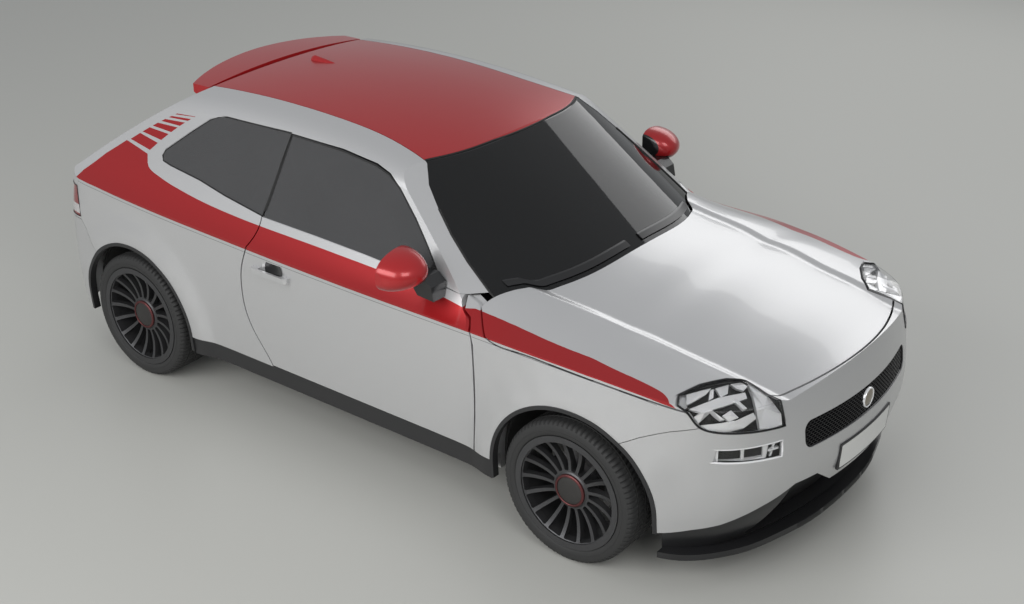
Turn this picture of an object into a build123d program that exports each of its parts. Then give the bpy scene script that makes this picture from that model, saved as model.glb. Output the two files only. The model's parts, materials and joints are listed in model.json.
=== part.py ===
from build123d import *
from math import atan, cos, exp, hypot, pi, radians, sin, sqrt
import os

# ---------------------------------------------------------------- driving dimensions, mm
HALF_BASE = 1250.0            # half the wheelbase; x = 0 is midway between the axles
HUB_Z = 304.0                 # height of the wheel centres, which is the tyre's radius
ARCH_R = 362.0                # radius of the wheel-arch opening
SIDE_Y = 862.0                # half the width over the shoulder crease
NOSE_X, NOSE_Z = 2068.0, 500.0    # foremost point of the bumper, and its height
TAIL_X, TAIL_Z = -1832.0, 560.0   # rearmost point of the bumper, and its height
NOSE_BOW, TAIL_BOW = 0.317e-3, 0.09e-3    # plan curvature of nose and tail, 1/mm
NOSE_CORNER, TAIL_CORNER = 10.0, 14.0     # higher is a tighter corner between side and end
FLARE, FLARE_REACH = 28.0, 95.0   # how far the arches stand out, and how wide they fade


def ease(t):
    """0 to 1 with level ends"""
    t = min(1.0, max(0.0, t))
    return t * t * (3 - 2 * t)


def end_taper(x):
    """How much narrower the body is than at the middle"""
    front, rear = max(0.0, x - 1000), max(0.0, -x - 1000)
    return 62 * (front / 630) ** 2 + 4 * (rear / 650) ** 2


def crease_z(x):
    """Height of the shoulder crease along the side"""
    ahead = x - 1100
    if ahead > 0:
        return 850 - 0.040 * ahead - 0.080e-3 * ahead**2
    return 850 - 0.002 * ahead + 0.0075e-3 * ahead**2


def nose_x(z):
    return NOSE_X - (0.55e-3 if z > NOSE_Z else 1.2e-3) * (z - NOSE_Z) ** 2


def tail_x(z):
    return TAIL_X + 0.40e-3 * (z - TAIL_Z) ** 2


def flare(x, z):
    """Arch bulge: full at the lip, faded out FLARE_REACH beyond it"""
    beyond = [max(0.0, hypot(x - axle, z - HUB_Z) - ARCH_R) for axle in (-HALF_BASE, HALF_BASE)]
    return sum(FLARE / (1 + (r / FLARE_REACH) ** 4) for r in beyond)


def side_y(x, z):
    """Half width of the plain body side below the crease"""
    return SIDE_Y - 20 * (max(0.0, 860 - z) / 540) ** 2 - end_taper(x)


def outline_point(turn, z, inset):
    """Plan outline at height z, where turn runs from 0 at the tail to 1 at the nose"""
    start = 1150.0
    if 0.2 < turn < 0.8:
        x = start * (turn - 0.5) / 0.3
        return x, side_y(x, z) - inset
    front = turn >= 0.8
    theta = pi / 2 * ((1 - turn) / 0.2 if front else turn / 0.2)
    sign = 1 if front else -1
    power = NOSE_CORNER if front else TAIL_CORNER
    bow = NOSE_BOW if front else TAIL_BOW
    reach = abs(nose_x(z) if front else tail_x(z)) - inset
    low, high = 100.0, 2400.0
    for _ in range(40):
        r = (low + high) / 2
        along, across = r * cos(theta), r * sin(theta)
        end = reach - bow * across**2 - start
        side = side_y(sign * (start + along), z) - inset
        inside = (across / side) ** power + (along / end) ** power < 1
        low, high = (r, high) if inside else (low, r)
    return sign * (start + along), across


def even_spline(points):
    """Spline whose knots are evenly spaced, so that a row of them lofts into one smooth face"""
    steps = [i / (len(points) - 1) for i in range(len(points))]
    return Edge.make_spline([Vector(*p) for p in points], parameters=steps)


def body_walls(inset, flared):
    """Everything inside the body's side, nose and tail"""
    turns = [0, .025, .05, .075, .1, .12, .135, .15, .165, .18, .2]
    turns += [0.2 + 0.6 * i / 36 for i in range(1, 36)]
    turns += [1 - t for t in reversed(turns[:11])]
    with BuildPart() as walls:
        for z in (*range(120, 981, 86), 1150, 1350, 1500):
            half = [outline_point(t, z, inset) for t in turns]
            if flared:
                half = [(x, y + flare(x, z) * min(1.0, y / 800)) for x, y in half]
            loop = half + [(x, -y) for x, y in reversed(half[:-1])]
            with BuildSketch(Plane.XY.offset(z)):
                with BuildLine():
                    add(even_spline(loop))
                make_face()
        loft()
    return walls.part


def glass_y(z):
    """Half width of the side glass"""
    return 772 - 0.325 * (z - 955) - 0.10e-3 * (z - 955) ** 2 * (1 if z > 955 else 0)


def upper_y(x, z):
    """Half width above the crease: a shoulder that rolls up into the side glass"""
    base = glass_y(z)
    lip = SIDE_Y - glass_y(crease_z(x))
    taper = end_taper(x) if x < 0 else 0
    return base - taper + lip * exp(-(z - crease_z(x)) / 76)


def upper_sides(inset):
    """Everything between the two upper body sides"""
    with BuildPart() as sides:
        for z in (790, 830, 870, 910, 950, 1000, 1060, 1140, 1240, 1350, 1480):
            left = [(x, upper_y(x, z) - inset) for x in range(-2000, 2201, 300)]
            right = [(x, -y) for x, y in reversed(left)]
            with BuildSketch(Plane.XY.offset(z)):
                with BuildLine():
                    add(even_spline(left))
                    Line(left[-1], right[0])
                    add(even_spline(right))
                    Line(right[-1], left[0])
                make_face()
        loft()
        with BuildSketch(Plane.XY.offset(60)):
            Rectangle(4400, 2000)
        extrude(amount=730)
    return sides.part


def ridge_z(x):
    """Height of the ridge along each side of the bonnet"""
    ahead = (x - 1000) / 1000
    if ahead > -0.25:
        return 940 - 115 * ahead - 45 * ahead**2
    return 915 + 51 * ease((ahead + 2.4) / 2.15)


def top_profile(x):
    """Cross-section of bonnet and wings at x, from the middle out"""
    ridge = 560 - 0.070 * max(-250.0, x - 1000)
    crest, edge = ridge_z(x), crease_z(x)
    edge_y = SIDE_Y - end_taper(x)
    power = 3.2 - 1.7 * ease((x - 560) / 300)
    crown = 160e-6 * ridge**2
    middle = [(s * ridge, crest - 12 + crown * (1 - s * s)) for s in (0, .3, .6, .85, .95)]
    outer = []
    for s in (0.08, 0.2, 0.4, 0.6, 0.8, 1.0, 1.15, 1.3):
        outer.append((ridge + s * (edge_y - ridge), crest - (crest - edge) * s**power))
    return middle + [(ridge + 4, crest - 1)] + outer


def lower_top(drop):
    """Everything under the bonnet, the wings and the line of the tail"""
    with BuildPart() as top:
        for i in range(28):
            x = -1950 + 150 * i
            half = [(y, z - drop) for y, z in top_profile(x)]
            row = [(-y, z) for y, z in reversed(half[1:])] + half
            with BuildSketch(Plane.YZ.offset(x)):
                with BuildLine():
                    add(even_spline(row))
                    Polyline(row[-1], (row[-1][0], 60), (row[0][0], 60), row[0])
                make_face()
        loft()
    return top.part


def screen_back(y):
    """How far the windscreen sweeps back from its middle"""
    y = y / 1000
    return 1000 * (0.31 * y**2 + 0.8 * y**4 / (1 + 2.2 * y**4))


def roof_z(x):
    """Height of the roof on the centre line"""
    return 1435 - 0.09e-3 * (x + 550) ** 2


def cant_y(x):
    """Half width at which the roof has turned down into the body side"""
    return glass_y(roof_z(x) - 99)


def roof_prism(drop):
    """Everything under the roof"""
    shares = (0, .3, .5, .65, .75, .82, .88, .93, .97, 1.0, 1.02)
    with BuildPart() as roof:
        for x in (-2000, -1500, -1000, -550, -100, 300, 700, 1150):
            wide = cant_y(x)
            half = [(wide * s, roof_z(x) - 0.13e-3 * (wide * s) ** 2 - 47 * s**20 - drop) for s in shares]
            row = [(-y, z) for y, z in reversed(half[1:])] + half
            foot = row[-1][1]
            with BuildSketch(Plane.YZ.offset(x)):
                with BuildLine():
                    add(even_spline(row))
                    Polyline(row[-1], (900, foot), (900, 700), (-900, 700), (-900, foot), row[0])
                make_face()
        loft()
    return roof.part


def gate_x(z):
    """Place of the tailgate's skin on the centre line, a slope that steepens towards the tail"""
    below = 1380 - z
    return -1065 - 1.87 * below + 0.61e-3 * below**2


def ahead_of_gate(gate_in):
    """Everything ahead of the tailgate"""
    ys = [-960 + 240 * i for i in range(9)]
    with BuildPart() as room:
        for z in (700, 830, 960, 1090, 1220, 1350, 1500):
            with BuildSketch(Plane.XY.offset(z)):
                with BuildLine():
                    back = [(gate_x(z) + gate_in + 0.12e-3 * y**2, y) for y in ys]
                    add(even_spline(back))
                    Polyline(back[-1], (2600, 960), (2600, -960), back[0])
                make_face()
        loft()
    return room.part


def cabin_front(screen_in):
    """Everything behind the windscreen's skin"""
    base, rake = 700.0, 1.58
    ys = [-960 + 160 * i for i in range(13)]
    with BuildPart() as room:
        with BuildSketch(Plane.XY.offset(base)):
            with BuildLine():
                front = [(990 + rake * (975 - base) - screen_in - screen_back(y), y) for y in ys]
                add(even_spline(front))
                Polyline(front[-1], (-2600, 960), (-2600, -960), front[0])
            make_face()
        extrude(amount=900 * hypot(1, rake), dir=(-rake, 0, 1))
    return room.part


def cabin(drop, screen_in, gate_in):
    """Everything behind the windscreen, under the roof and ahead of the tailgate"""
    with BuildPart() as room:
        add(cabin_front(screen_in))
        add(roof_prism(drop), mode=Mode.INTERSECT)
        add(ahead_of_gate(gate_in), mode=Mode.INTERSECT)
    return room.part


def envelope(side, top, roof, screen, gate, flared=False):
    """The whole body drawn in by the given depths"""
    with BuildPart() as tops:
        add(lower_top(top))
        add(cabin(roof, screen, gate))
    with BuildPart() as body:
        add(body_walls(side, flared))
        add(upper_sides(side), mode=Mode.INTERSECT)
        add(tops.part, mode=Mode.INTERSECT)
    return body.part


def side_prism(y_from, y_to):
    """Sketch plane for a profile in x and z, with the depth that spans y_from to y_to"""
    return Plane.XZ.offset(-y_to), y_to - y_from


def profile(points, y_from, y_to):
    """Solid of a straight-sided x, z profile between two y values"""
    plane, depth = side_prism(y_from, y_to)
    with BuildPart() as block:
        with BuildSketch(plane):
            with BuildLine():
                Polyline(*points, close=True)
            make_face()
        extrude(amount=depth)
    return block.part


def plan(points, z_from, z_to):
    """Solid of a straight-sided x, y outline between two heights"""
    with BuildPart() as block:
        with BuildSketch(Plane.XY.offset(z_from)):
            with BuildLine():
                Polyline(*points, close=True)
            make_face()
        extrude(amount=z_to - z_from)
    return block.part


def box(x0, x1, y0, y1, z0, z1):
    """Plain block between opposite corners"""
    return plan([(x0, y0), (x1, y0), (x1, y1), (x0, y1)], z0, z1)


def both(piece):
    """A right-hand piece with its left-hand twin"""
    with BuildPart() as pair:
        add(piece)
        mirror(about=Plane.XZ)
    return pair.part


# ---------------------------------------------------------------- gaps and edges shared by the panels
GAP = 7.0                     # shut gap of whatever opens
SEAM = 3.0                    # gap between panels that stay put
SILL_Z = 316.0                # lower edge of doors and wings
WIDE = 1000.0                 # beyond the body's half width


def offset_line(points, dx, dz):
    """The same x, z line moved over"""
    return [(x + dx, z + dz) for x, z in points]


DOOR_FRONT = [(778, 300), (789, 459), (788, 640), (782, 793), (767, 853), (738, 882), (705, 905)]
DOOR_FRONT += [(682, 950)]
DOOR_REAR = [(-368, 300), (-413, 379), (-470, 462), (-507, 551), (-518, 673), (-510, 749), (-476, 845)]
DOOR_REAR += [(-455, 898), (-448, 987)]
BONNET_SIDE = [(600, 1010), (708, 946), (745, 925), (792, 890), (844, 856), (900, 836)]
BONNET_SIDE += [(x, crease_z(x) - 14) for x in range(1000, 2201, 150)]
BELT = [(682, 950), (540, 958), (160, 975), (-120, 982), (-448, 987)]
WING_SEAM = [(1330, 480), (1441, 584), (1543, 642), (1653, 690), (1744, 720), (1800, 760)]
WINDOW = [(548, 956), (160, 975), (-120, 982), (-450, 988), (-700, 1018), (-870, 1046), (-1070, 1066)]
WINDOW += [(-1125, 1076), (-1138, 1098), (-1125, 1125), (-983, 1230), (-880, 1302), (-830, 1322)]
WINDOW += [(-780, 1330), (-375, 1340), (-83, 1336), (110, 1318), (190, 1298), (262, 1258)]
WINDOW += [(375, 1165), (463, 1080), (530, 1010), (552, 975)]
GLASS_SPLIT = [(-448, 987), (-380, 1345)]
HEADLAMP = [(1640, -1000), (1650, -740), (1681, -646), (1736, -552), (1790, -500), (1884, -512)]
HEADLAMP += [(1960, -505), (2200, -470), (2200, -1000)]
HEADLAMP_FOOT = [(1600, 850), (1650, 816), (1711, 776), (1750, 728), (1793, 712), (1844, 706), (1964, 694)]
HEADLAMP_FOOT += [(2200, 690)]
LAMP_FRONT = -1632.0          # where the tail lamps end on the body's side
LAMP_FOOT, LAMP_TOP = 715.0, 872.0
LAMP_IN = 600.0               # half the width between the tail lamps
GATE_FOOT = 706.0             # lower edge of the tailgate
ROOF_REAR = -1036.0           # rear edge of the roof panel


def curve_block(lower, upper_z, y_from=-WIDE, y_to=WIDE):
    """Everything above a smooth x, z line, up to upper_z"""
    plane, depth = side_prism(y_from, y_to)
    with BuildPart() as block:
        with BuildSketch(plane):
            with BuildLine():
                Spline(*lower)
                Polyline(lower[-1], (lower[-1][0], upper_z), (lower[0][0], upper_z), lower[0])
            make_face()
        extrude(amount=depth)
    return block.part


def door_zone(grow):
    """Side profile of a door below its glass, grown on every edge"""
    front = offset_line(DOOR_FRONT, grow, 0)
    rear = offset_line(DOOR_REAR, -grow, 0)
    rear[-1] = (rear[-1][0], rear[-1][1] + grow)
    plane, depth = side_prism(-WIDE, -300)
    with BuildPart() as block:
        with BuildSketch(plane):
            with BuildLine():
                Spline(*front)
                Polyline(front[-1], *[(x, z + grow) for x, z in BELT[1:-1]], rear[-1])
                Spline(*reversed(rear))
                Polyline(rear[0], front[0])
            make_face()
        extrude(amount=depth)
        with BuildSketch(Plane.XY.offset(200)):
            Rectangle(5000, 3000)
        extrude(amount=SILL_Z - grow - 200, mode=Mode.SUBTRACT)
    return block.part


def window_zone(shrink, y_from=-WIDE, y_to=-300.0):
    """Side profile of the whole side window, shrunk on every edge"""
    plane, depth = side_prism(y_from, y_to)
    with BuildPart() as block:
        with BuildSketch(plane):
            with BuildLine():
                Polyline(*WINDOW, close=True)
            make_face()
            if shrink:
                offset(amount=-shrink)
        extrude(amount=depth)
    return block.part


def bonnet_zone(grow):
    """Where the bonnet lies, grown on every edge"""
    bow = [(2003 + 1.3 * grow - 0.42e-3 * y * y, y) for y in range(-900, 901, 150)]
    with BuildPart() as zone:
        with BuildSketch(Plane.XY.offset(600)):
            with BuildLine():
                Spline(*bow)
                Polyline(bow[-1], (500, 900), (500, -900), bow[0])
            make_face()
        extrude(amount=600)
        add(curve_block(offset_line(BONNET_SIDE, 0, -grow), 1200), mode=Mode.INTERSECT)
        add(cabin_front(-12 + grow), mode=Mode.SUBTRACT)
    return zone.part


def headlamp_zone(grow):
    """Right-hand headlamp: its plan outline above its foot line"""
    with BuildPart() as zone:
        with BuildSketch(Plane.XY.offset(500)):
            with BuildLine():
                Polyline(*HEADLAMP, close=True)
            make_face()
            if grow:
                offset(amount=grow)
        extrude(amount=500)
        add(curve_block(offset_line(HEADLAMP_FOOT, 0, -grow), 1000), mode=Mode.INTERSECT)
    return zone.part


def redline(x):
    """Half width of the red roof panel"""
    return 476 + 60 * max(0.0, (x + 130) / 450) ** 2


def roof_zone(grow, z_from=1000.0):
    """Plan of the roof panel, grown at its sides"""
    xs = [-1100, -900, -700, -500, -300, -130, 0, 100, 200, 300, 420]
    side = [(x, redline(x) + grow) for x in xs]
    with BuildPart() as zone:
        with BuildSketch(Plane.XY.offset(z_from)):
            with BuildLine():
                Spline(*side)
                Line(side[-1], (side[-1][0], -side[-1][1]))
                Spline(*[(x, -y) for x, y in reversed(side)])
                Line((side[0][0], -side[0][1]), side[0])
            make_face()
        extrude(amount=500)
    return zone.part


def arch_bore(radius, axle_x, inner_y, outer_y=WIDE):
    """Right-hand wheel arch: a cylinder from inner_y outwards, open to the ground"""
    with BuildPart() as bore:
        with BuildSketch(Plane.XZ.offset(inner_y)):
            with Locations((axle_x, HUB_Z)):
                Circle(radius)
            with Locations((axle_x, HUB_Z - 200)):
                Rectangle(2 * radius, 400)
        extrude(amount=outer_y - inner_y)
    return bore.part


def wall_band(out, deep):
    """Band of the body's wall between two depths"""
    with BuildPart() as band:
        add(body_walls(out, True))
        add(body_walls(deep, True), mode=Mode.SUBTRACT)
    return band.part


def upper_band(out, deep):
    """Band of the upper body sides between two depths"""
    with BuildPart() as band:
        add(upper_sides(out))
        add(upper_sides(deep), mode=Mode.SUBTRACT)
    return band.part


def front_view(points, x_from, x_to):
    """Solid of a straight-sided y, z outline between two x values"""
    with BuildPart() as block:
        with BuildSketch(Plane.YZ.offset(x_from)):
            with BuildLine():
                Polyline(*points, close=True)
            make_face()
        extrude(amount=x_to - x_from)
    return block.part


def symmetric(points):
    """A y, z line on the right, from the side inwards, carried on to its mirror image"""
    return points + [(-y, z) for y, z in reversed(points)]


# ---------------------------------------------------------------- body skins
TRIM_R = 372.0                # radius of the arch openings cut in the panels
STEER_ROOM = 470.0            # how far in the front arches reach, so that the wheels can turn
REAR_ROOM = 632.0             # how far in the rear arches reach

outer = envelope(0, 0, 0, 0, 0, flared=True)
thin_inside = envelope(14, 22, 20, 14, 30, flared=True)
under_inside = envelope(24, 32, 30, 24, 40)
deep_inside = envelope(55, 60, 34, 40, 46)
front_arch = arch_bore(TRIM_R, HALF_BASE, STEER_ROOM)
rear_arch = arch_bore(TRIM_R, -HALF_BASE, REAR_ROOM)
arches = both(front_arch) + both(rear_arch)
lamp_pockets = both(headlamp_zone(SEAM))

with BuildPart() as skin:
    add(outer)
    add(thin_inside, mode=Mode.SUBTRACT)

with BuildPart() as shell:
    add(outer)
    add(deep_inside, mode=Mode.SUBTRACT)

with BuildPart() as liner:
    add(under_inside)
    add(deep_inside, mode=Mode.SUBTRACT)

# ---------------------------------------------------------------- bonnet, wings and bumpers
with BuildPart() as bonnet:
    add(skin.part)
    add(bonnet_zone(0), mode=Mode.INTERSECT)
    add(both(headlamp_zone(GAP)), mode=Mode.SUBTRACT)

behind_wing = profile(offset_line(DOOR_FRONT, GAP + 2, 2) + [(500, 960), (500, 290)], -WIDE, -300)

with BuildPart() as front_wings:
    add(skin.part)
    add(box(600, 1850, -WIDE, -400, SILL_Z, 947), mode=Mode.INTERSECT)
    add(curve_block(offset_line(BONNET_SIDE, 0, -GAP), 1300), mode=Mode.SUBTRACT)
    add(behind_wing, mode=Mode.SUBTRACT)
    add(profile(WING_SEAM + [(2200, 760), (2200, 100), (1330, 100)], -WIDE, -300), mode=Mode.SUBTRACT)
    add(lamp_pockets, mode=Mode.SUBTRACT)
    add(arches, mode=Mode.SUBTRACT)
    mirror(about=Plane.XZ)

BUMPER_FOOT = [(-900, 222), (-800, 238), (-747, 274), (-684, 302), (-577, 366), (-450, 432), (-330, 430)]
BUMPER_FOOT += [(-215, 350)]
GRILLE_W, GRILLE_H, GRILLE_Z = 832.0, 112.0, 621.0
LAMP_SLOT = [(-733, 584), (-728, 640), (-518, 642), (-522, 576)]
below_bumper = front_view(symmetric(BUMPER_FOOT) + [(900, 100), (-900, 100)], 1400, 2200)
lamp_slots = both(front_view(LAMP_SLOT, 1600, 2200))

with BuildPart() as grille_slot:
    with BuildSketch(Plane.YZ.offset(1850)):
        with Locations((0, GRILLE_Z)):
            RectangleRounded(GRILLE_W, GRILLE_H, 40)
    extrude(amount=400)

BUMPER_EDGE = offset_line(WING_SEAM, 0, -SEAM) + [(1820, 900), (2200, 900), (2200, 100), (1330, 100)]

with BuildPart() as front_bumper:
    add(skin.part)
    add(profile(BUMPER_EDGE, -WIDE, WIDE), mode=Mode.INTERSECT)
    add(bonnet_zone(GAP), mode=Mode.SUBTRACT)
    add(lamp_pockets, mode=Mode.SUBTRACT)
    add(below_bumper, mode=Mode.SUBTRACT)
    add(grille_slot.part, mode=Mode.SUBTRACT)
    add(lamp_slots, mode=Mode.SUBTRACT)
    add(arches, mode=Mode.SUBTRACT)

with BuildPart() as grille:
    add(wall_band(6, 14))
    add(grille_slot.part, mode=Mode.INTERSECT)

with BuildPart() as running_lamps:
    add(wall_band(4, 14))
    add(lamp_slots, mode=Mode.INTERSECT)

with BuildPart() as headlights:
    add(outer)
    add(envelope(70, 70, 70, 70, 70), mode=Mode.SUBTRACT)
    add(headlamp_zone(0), mode=Mode.INTERSECT)
    mirror(about=Plane.XZ)

INTAKE = [(-560, 205), (-450, 446), (450, 446), (560, 205)]
LIP_Z, LIP_THICK = 150.0, 26.0
LIP = [(1640, -819), (1778, -736), (1833, -668), (1893, -564), (1940, -418), (1968, -310), (1995, 0)]
LIP_BACK = [(1640, -819), (1640, -720), (1720, -640), (1800, -480), (1850, -250), (1860, 0)]

with BuildPart() as intake:
    add(front_view(INTAKE, 1500, 2200))
    add(body_walls(66, False), mode=Mode.SUBTRACT)

with BuildPart() as front_splitter:
    add(wall_band(2, 80))
    add(below_bumper, mode=Mode.INTERSECT)
    add(box(1560, 2200, -WIDE, WIDE, LIP_Z, 445), mode=Mode.INTERSECT)
    add(intake.part, mode=Mode.SUBTRACT)
    with BuildSketch(Plane.XY.offset(LIP_Z)):
        with BuildLine():
            Spline(*LIP, *[(x, -y) for x, y in reversed(LIP[:-1])])
            Polyline(*LIP_BACK, *[(x, -y) for x, y in reversed(LIP_BACK[:-1])])
        make_face()
    extrude(amount=LIP_THICK)
    add(both(arch_bore(TRIM_R + 14, HALF_BASE, STEER_ROOM - 14)), mode=Mode.SUBTRACT)

REAR_SEAM = [(-1470, 520), (-1553, 614), (-1600, 668), (-1630, 700), (-1950, 700)]
REAR_FOOT = [(-1950, 150), (-1470, 150)]

with BuildPart() as rear_bumper:
    add(skin.part)
    add(profile(REAR_SEAM + REAR_FOOT, -WIDE, WIDE), mode=Mode.INTERSECT)
    add(box(-2000, -1400, -WIDE, WIDE, 250, 800), mode=Mode.INTERSECT)
    add(arches, mode=Mode.SUBTRACT)

# ---------------------------------------------------------------- glass and roof
SCREEN_EDGE = [(-702, 880), (-702, 950), (-684, 1039), (-658, 1119), (-625, 1193), (-585, 1267)]
SCREEN_EDGE += [(-535, 1322), (-505, 1352)]


def screen_zone(grow):
    """Front view of the windscreen"""
    edge = [(y - grow, z) for y, z in SCREEN_EDGE[:-1]] + [(SCREEN_EDGE[-1][0], SCREEN_EDGE[-1][1] + grow)]
    return front_view(symmetric(edge), 100, 1300)


with BuildPart() as windscreen:
    add(cabin_front(3))
    add(cabin_front(13), mode=Mode.SUBTRACT)
    add(screen_zone(0), mode=Mode.INTERSECT)
    add(lower_top(45), mode=Mode.SUBTRACT)
    add(roof_prism(2), mode=Mode.INTERSECT)

with BuildPart() as header:
    add(roof_prism(20))
    add(roof_prism(42), mode=Mode.SUBTRACT)
    add(cabin_front(18), mode=Mode.INTERSECT)
    add(box(190, 360, -430, 430, 1200, 1500), mode=Mode.INTERSECT)

with BuildPart() as roof_panel:
    add(outer)
    add(roof_zone(0), mode=Mode.INTERSECT)
    add(box(ROOF_REAR, 600, -WIDE, WIDE, 1100, 1500), mode=Mode.INTERSECT)
    add(cabin_front(16), mode=Mode.INTERSECT)
    add(roof_prism(20), mode=Mode.SUBTRACT)
    add(header.part)

with BuildPart() as roof_antenna:
    with BuildSketch(Plane.XZ.offset(-6)):
        with BuildLine():
            Polyline((-876, 1405), (-870, 1450), (-700, 1428), (-700, 1405), close=True)
        make_face()
    extrude(amount=12)
    add(roof_prism(0), mode=Mode.SUBTRACT)

# ---------------------------------------------------------------- tailgate
GATE_PLAN = [(ROOF_REAR - 8, 478), (-1450, 593), (-2000, 593)]


def gate_zone(grow):
    """Plan of the tailgate, grown at its sides and front, above its lower edge"""
    (x0, y0), (x1, y1), (x2, y2) = GATE_PLAN
    side = [(x0 + grow, y0 + grow), (x1, y1 + grow), (x2, y2 + grow)]
    return plan(side + [(x, -y) for x, y in reversed(side)], GATE_FOOT - grow, 1600)


REAR_GLASS = [(-462, 1030), (-410, 1325)]
rear_glass_zone = front_view(symmetric(REAR_GLASS), -1900, -1000)

with BuildPart() as tailgate:
    add(shell.part)
    add(gate_zone(0), mode=Mode.INTERSECT)
    add(rear_glass_zone, mode=Mode.SUBTRACT)

with BuildPart() as rear_window:
    add(ahead_of_gate(3))
    add(ahead_of_gate(10), mode=Mode.SUBTRACT)
    add(rear_glass_zone, mode=Mode.INTERSECT)

SPOILER_X = ROOF_REAR - 8     # where the spoiler starts, flush with the roof
SPOILER_LIFT = 4.7            # degrees by which it turns up behind that
TRAILING = [(-1150, -500), (-1215, -330), (-1250, -160), (-1262, 0)]
BLADE = [(SPOILER_X, 1300), (SPOILER_X, 1470), (-1262, 1470), (-1262, 1385), (-1140, 1335)]

with BuildPart() as roof_spoiler:
    with BuildSketch(Plane.XY.offset(1250)):
        with BuildLine():
            Spline(*TRAILING, *[(x, -y) for x, y in reversed(TRAILING[:-1])])
            Polyline((-1150, 500), (SPOILER_X, 500), (SPOILER_X, -500), (-1150, -500))
        make_face()
    extrude(amount=250)
    hinge_line = Axis((SPOILER_X, 0, roof_z(SPOILER_X)), (0, 1, 0))
    add(roof_prism(0).rotate(hinge_line, SPOILER_LIFT), mode=Mode.INTERSECT)
    add(profile(BLADE, -500, 500), mode=Mode.INTERSECT)
    add(ahead_of_gate(0), mode=Mode.SUBTRACT)

with BuildPart() as tail_lamps:
    add(outer)
    add(body_walls(60, True), mode=Mode.SUBTRACT)
    add(box(-2000, LAMP_FRONT, -WIDE, -LAMP_IN, LAMP_FOOT, LAMP_TOP), mode=Mode.INTERSECT)
    mirror(about=Plane.XZ)

# ---------------------------------------------------------------- body sides
ROCKER_IN, ROCKER_OUT, ROCKER_Z = 725.0, 786.0, 232.0
BULKHEAD_X = 868.0            # front face of the bulkhead and of the hinge pillars
SILL_TOP = 309.0
FLOOR_Z, FLOOR_THICK = 215.0, 20.0

POST = [(-570, 900), (-466, 900), (-462, 990), (-368, 1372), (-482, 1372), (-570, 990)]

with BuildPart() as b_pillar:
    add(upper_band(30, 60))
    add(profile(POST, -WIDE, -300), mode=Mode.INTERSECT)

with BuildPart() as hinge_pillar:
    add(liner.part)
    add(box(600, BULKHEAD_X, -WIDE, -ROCKER_IN, SILL_TOP, 940), mode=Mode.INTERSECT)

with BuildPart() as roof_step:
    add(roof_zone(SEAM))
    add(roof_prism(20), mode=Mode.SUBTRACT)

with BuildPart() as side_frame_right:
    add(shell.part)
    add(box(-2000, 800, -WIDE, -300, SILL_TOP, 1500), mode=Mode.INTERSECT)
    add(box(600, 2200, -WIDE, -300, 0, 950), mode=Mode.SUBTRACT)
    add(bonnet_zone(GAP), mode=Mode.SUBTRACT)
    add(screen_zone(SEAM), mode=Mode.SUBTRACT)
    add(hinge_pillar.part)
    add(roof_step.part, mode=Mode.SUBTRACT)
    add(roof_zone(-40), mode=Mode.SUBTRACT)
    add(gate_zone(GAP), mode=Mode.SUBTRACT)
    add(profile(offset_line(REAR_SEAM, 0, SEAM) + REAR_FOOT, -WIDE, WIDE), mode=Mode.SUBTRACT)
    add(box(-2000, LAMP_FRONT, -WIDE, -300, LAMP_FOOT, LAMP_TOP), mode=Mode.SUBTRACT)
    add(door_zone(GAP), mode=Mode.SUBTRACT)
    add(window_zone(0), mode=Mode.SUBTRACT)
    add(b_pillar.part)
    add(rear_arch, mode=Mode.SUBTRACT)
    add(box(-860, BULKHEAD_X, -ROCKER_OUT, -ROCKER_IN, ROCKER_Z, SILL_TOP))
    add(box(-860, -410, -ROCKER_OUT - 10, -ROCKER_IN, SILL_TOP, 335))
    add(box(800, BULKHEAD_X, -815, -ROCKER_IN, SILL_TOP, 850))

behind = offset_line(GLASS_SPLIT, -GAP / 2, 0)
behind_split = profile([(-1300, 900)] + behind + [(-1300, 1400)], -WIDE, -300)

with BuildPart() as quarter_glass:
    add(upper_band(4, 9))
    add(window_zone(0), mode=Mode.INTERSECT)
    add(behind_split, mode=Mode.INTERSECT)
    mirror(about=Plane.XZ)

with BuildPart() as side_sills:
    add(wall_band(6, 45))
    add(box(-HALF_BASE, HALF_BASE, -WIDE, -400, 222, SILL_TOP), mode=Mode.INTERSECT)
    add(arches, mode=Mode.SUBTRACT)
    mirror(about=Plane.XZ)


def trim_ring(axle_x):
    """Right-hand arch lip: a half ring with legs down to the sill"""
    with BuildPart() as ring:
        add(arch_bore(TRIM_R, axle_x, 600))
        add(arch_bore(TRIM_R - 16, axle_x, 500), mode=Mode.SUBTRACT)
        add(box(axle_x - 400, axle_x + 400, -WIDE, -600, 235, 700), mode=Mode.INTERSECT)
    return ring.part


with BuildPart() as arch_trims:
    add(wall_band(-3, 30))
    add(trim_ring(-HALF_BASE) + trim_ring(HALF_BASE), mode=Mode.INTERSECT)
    mirror(about=Plane.XZ)

# ---------------------------------------------------------------- doors and mirrors
ahead = offset_line(GLASS_SPLIT, GAP / 2, 0)
ahead_of_split = profile(ahead + [(800, 1345), (800, 930), (ahead[0][0] + 6, 930)], -WIDE, -300)

GLASS_FOOT = [(-438, 940), (528, 940), (540, 964), (160, 983), (-120, 990), (-438, 996)]

with BuildPart() as pane:
    add(window_zone(6))
    add(profile(GLASS_FOOT, -WIDE, -300))

with BuildPart() as door_glass_right:
    add(upper_band(4, 9))
    add(pane.part, mode=Mode.INTERSECT)
    add(ahead_of_split, mode=Mode.INTERSECT)

DOOR_DEEP = 70.0
HANDLE_X, HANDLE_Z = -321.0, 783.0
GRIP = [(-434, -835), (-430, -880), (-418, -889), (-225, -889), (-213, -880), (-209, -835)]
PALM = [(-392, -830), (-392, -874), (-384, -878), (-259, -878), (-251, -874), (-251, -830)]

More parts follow.
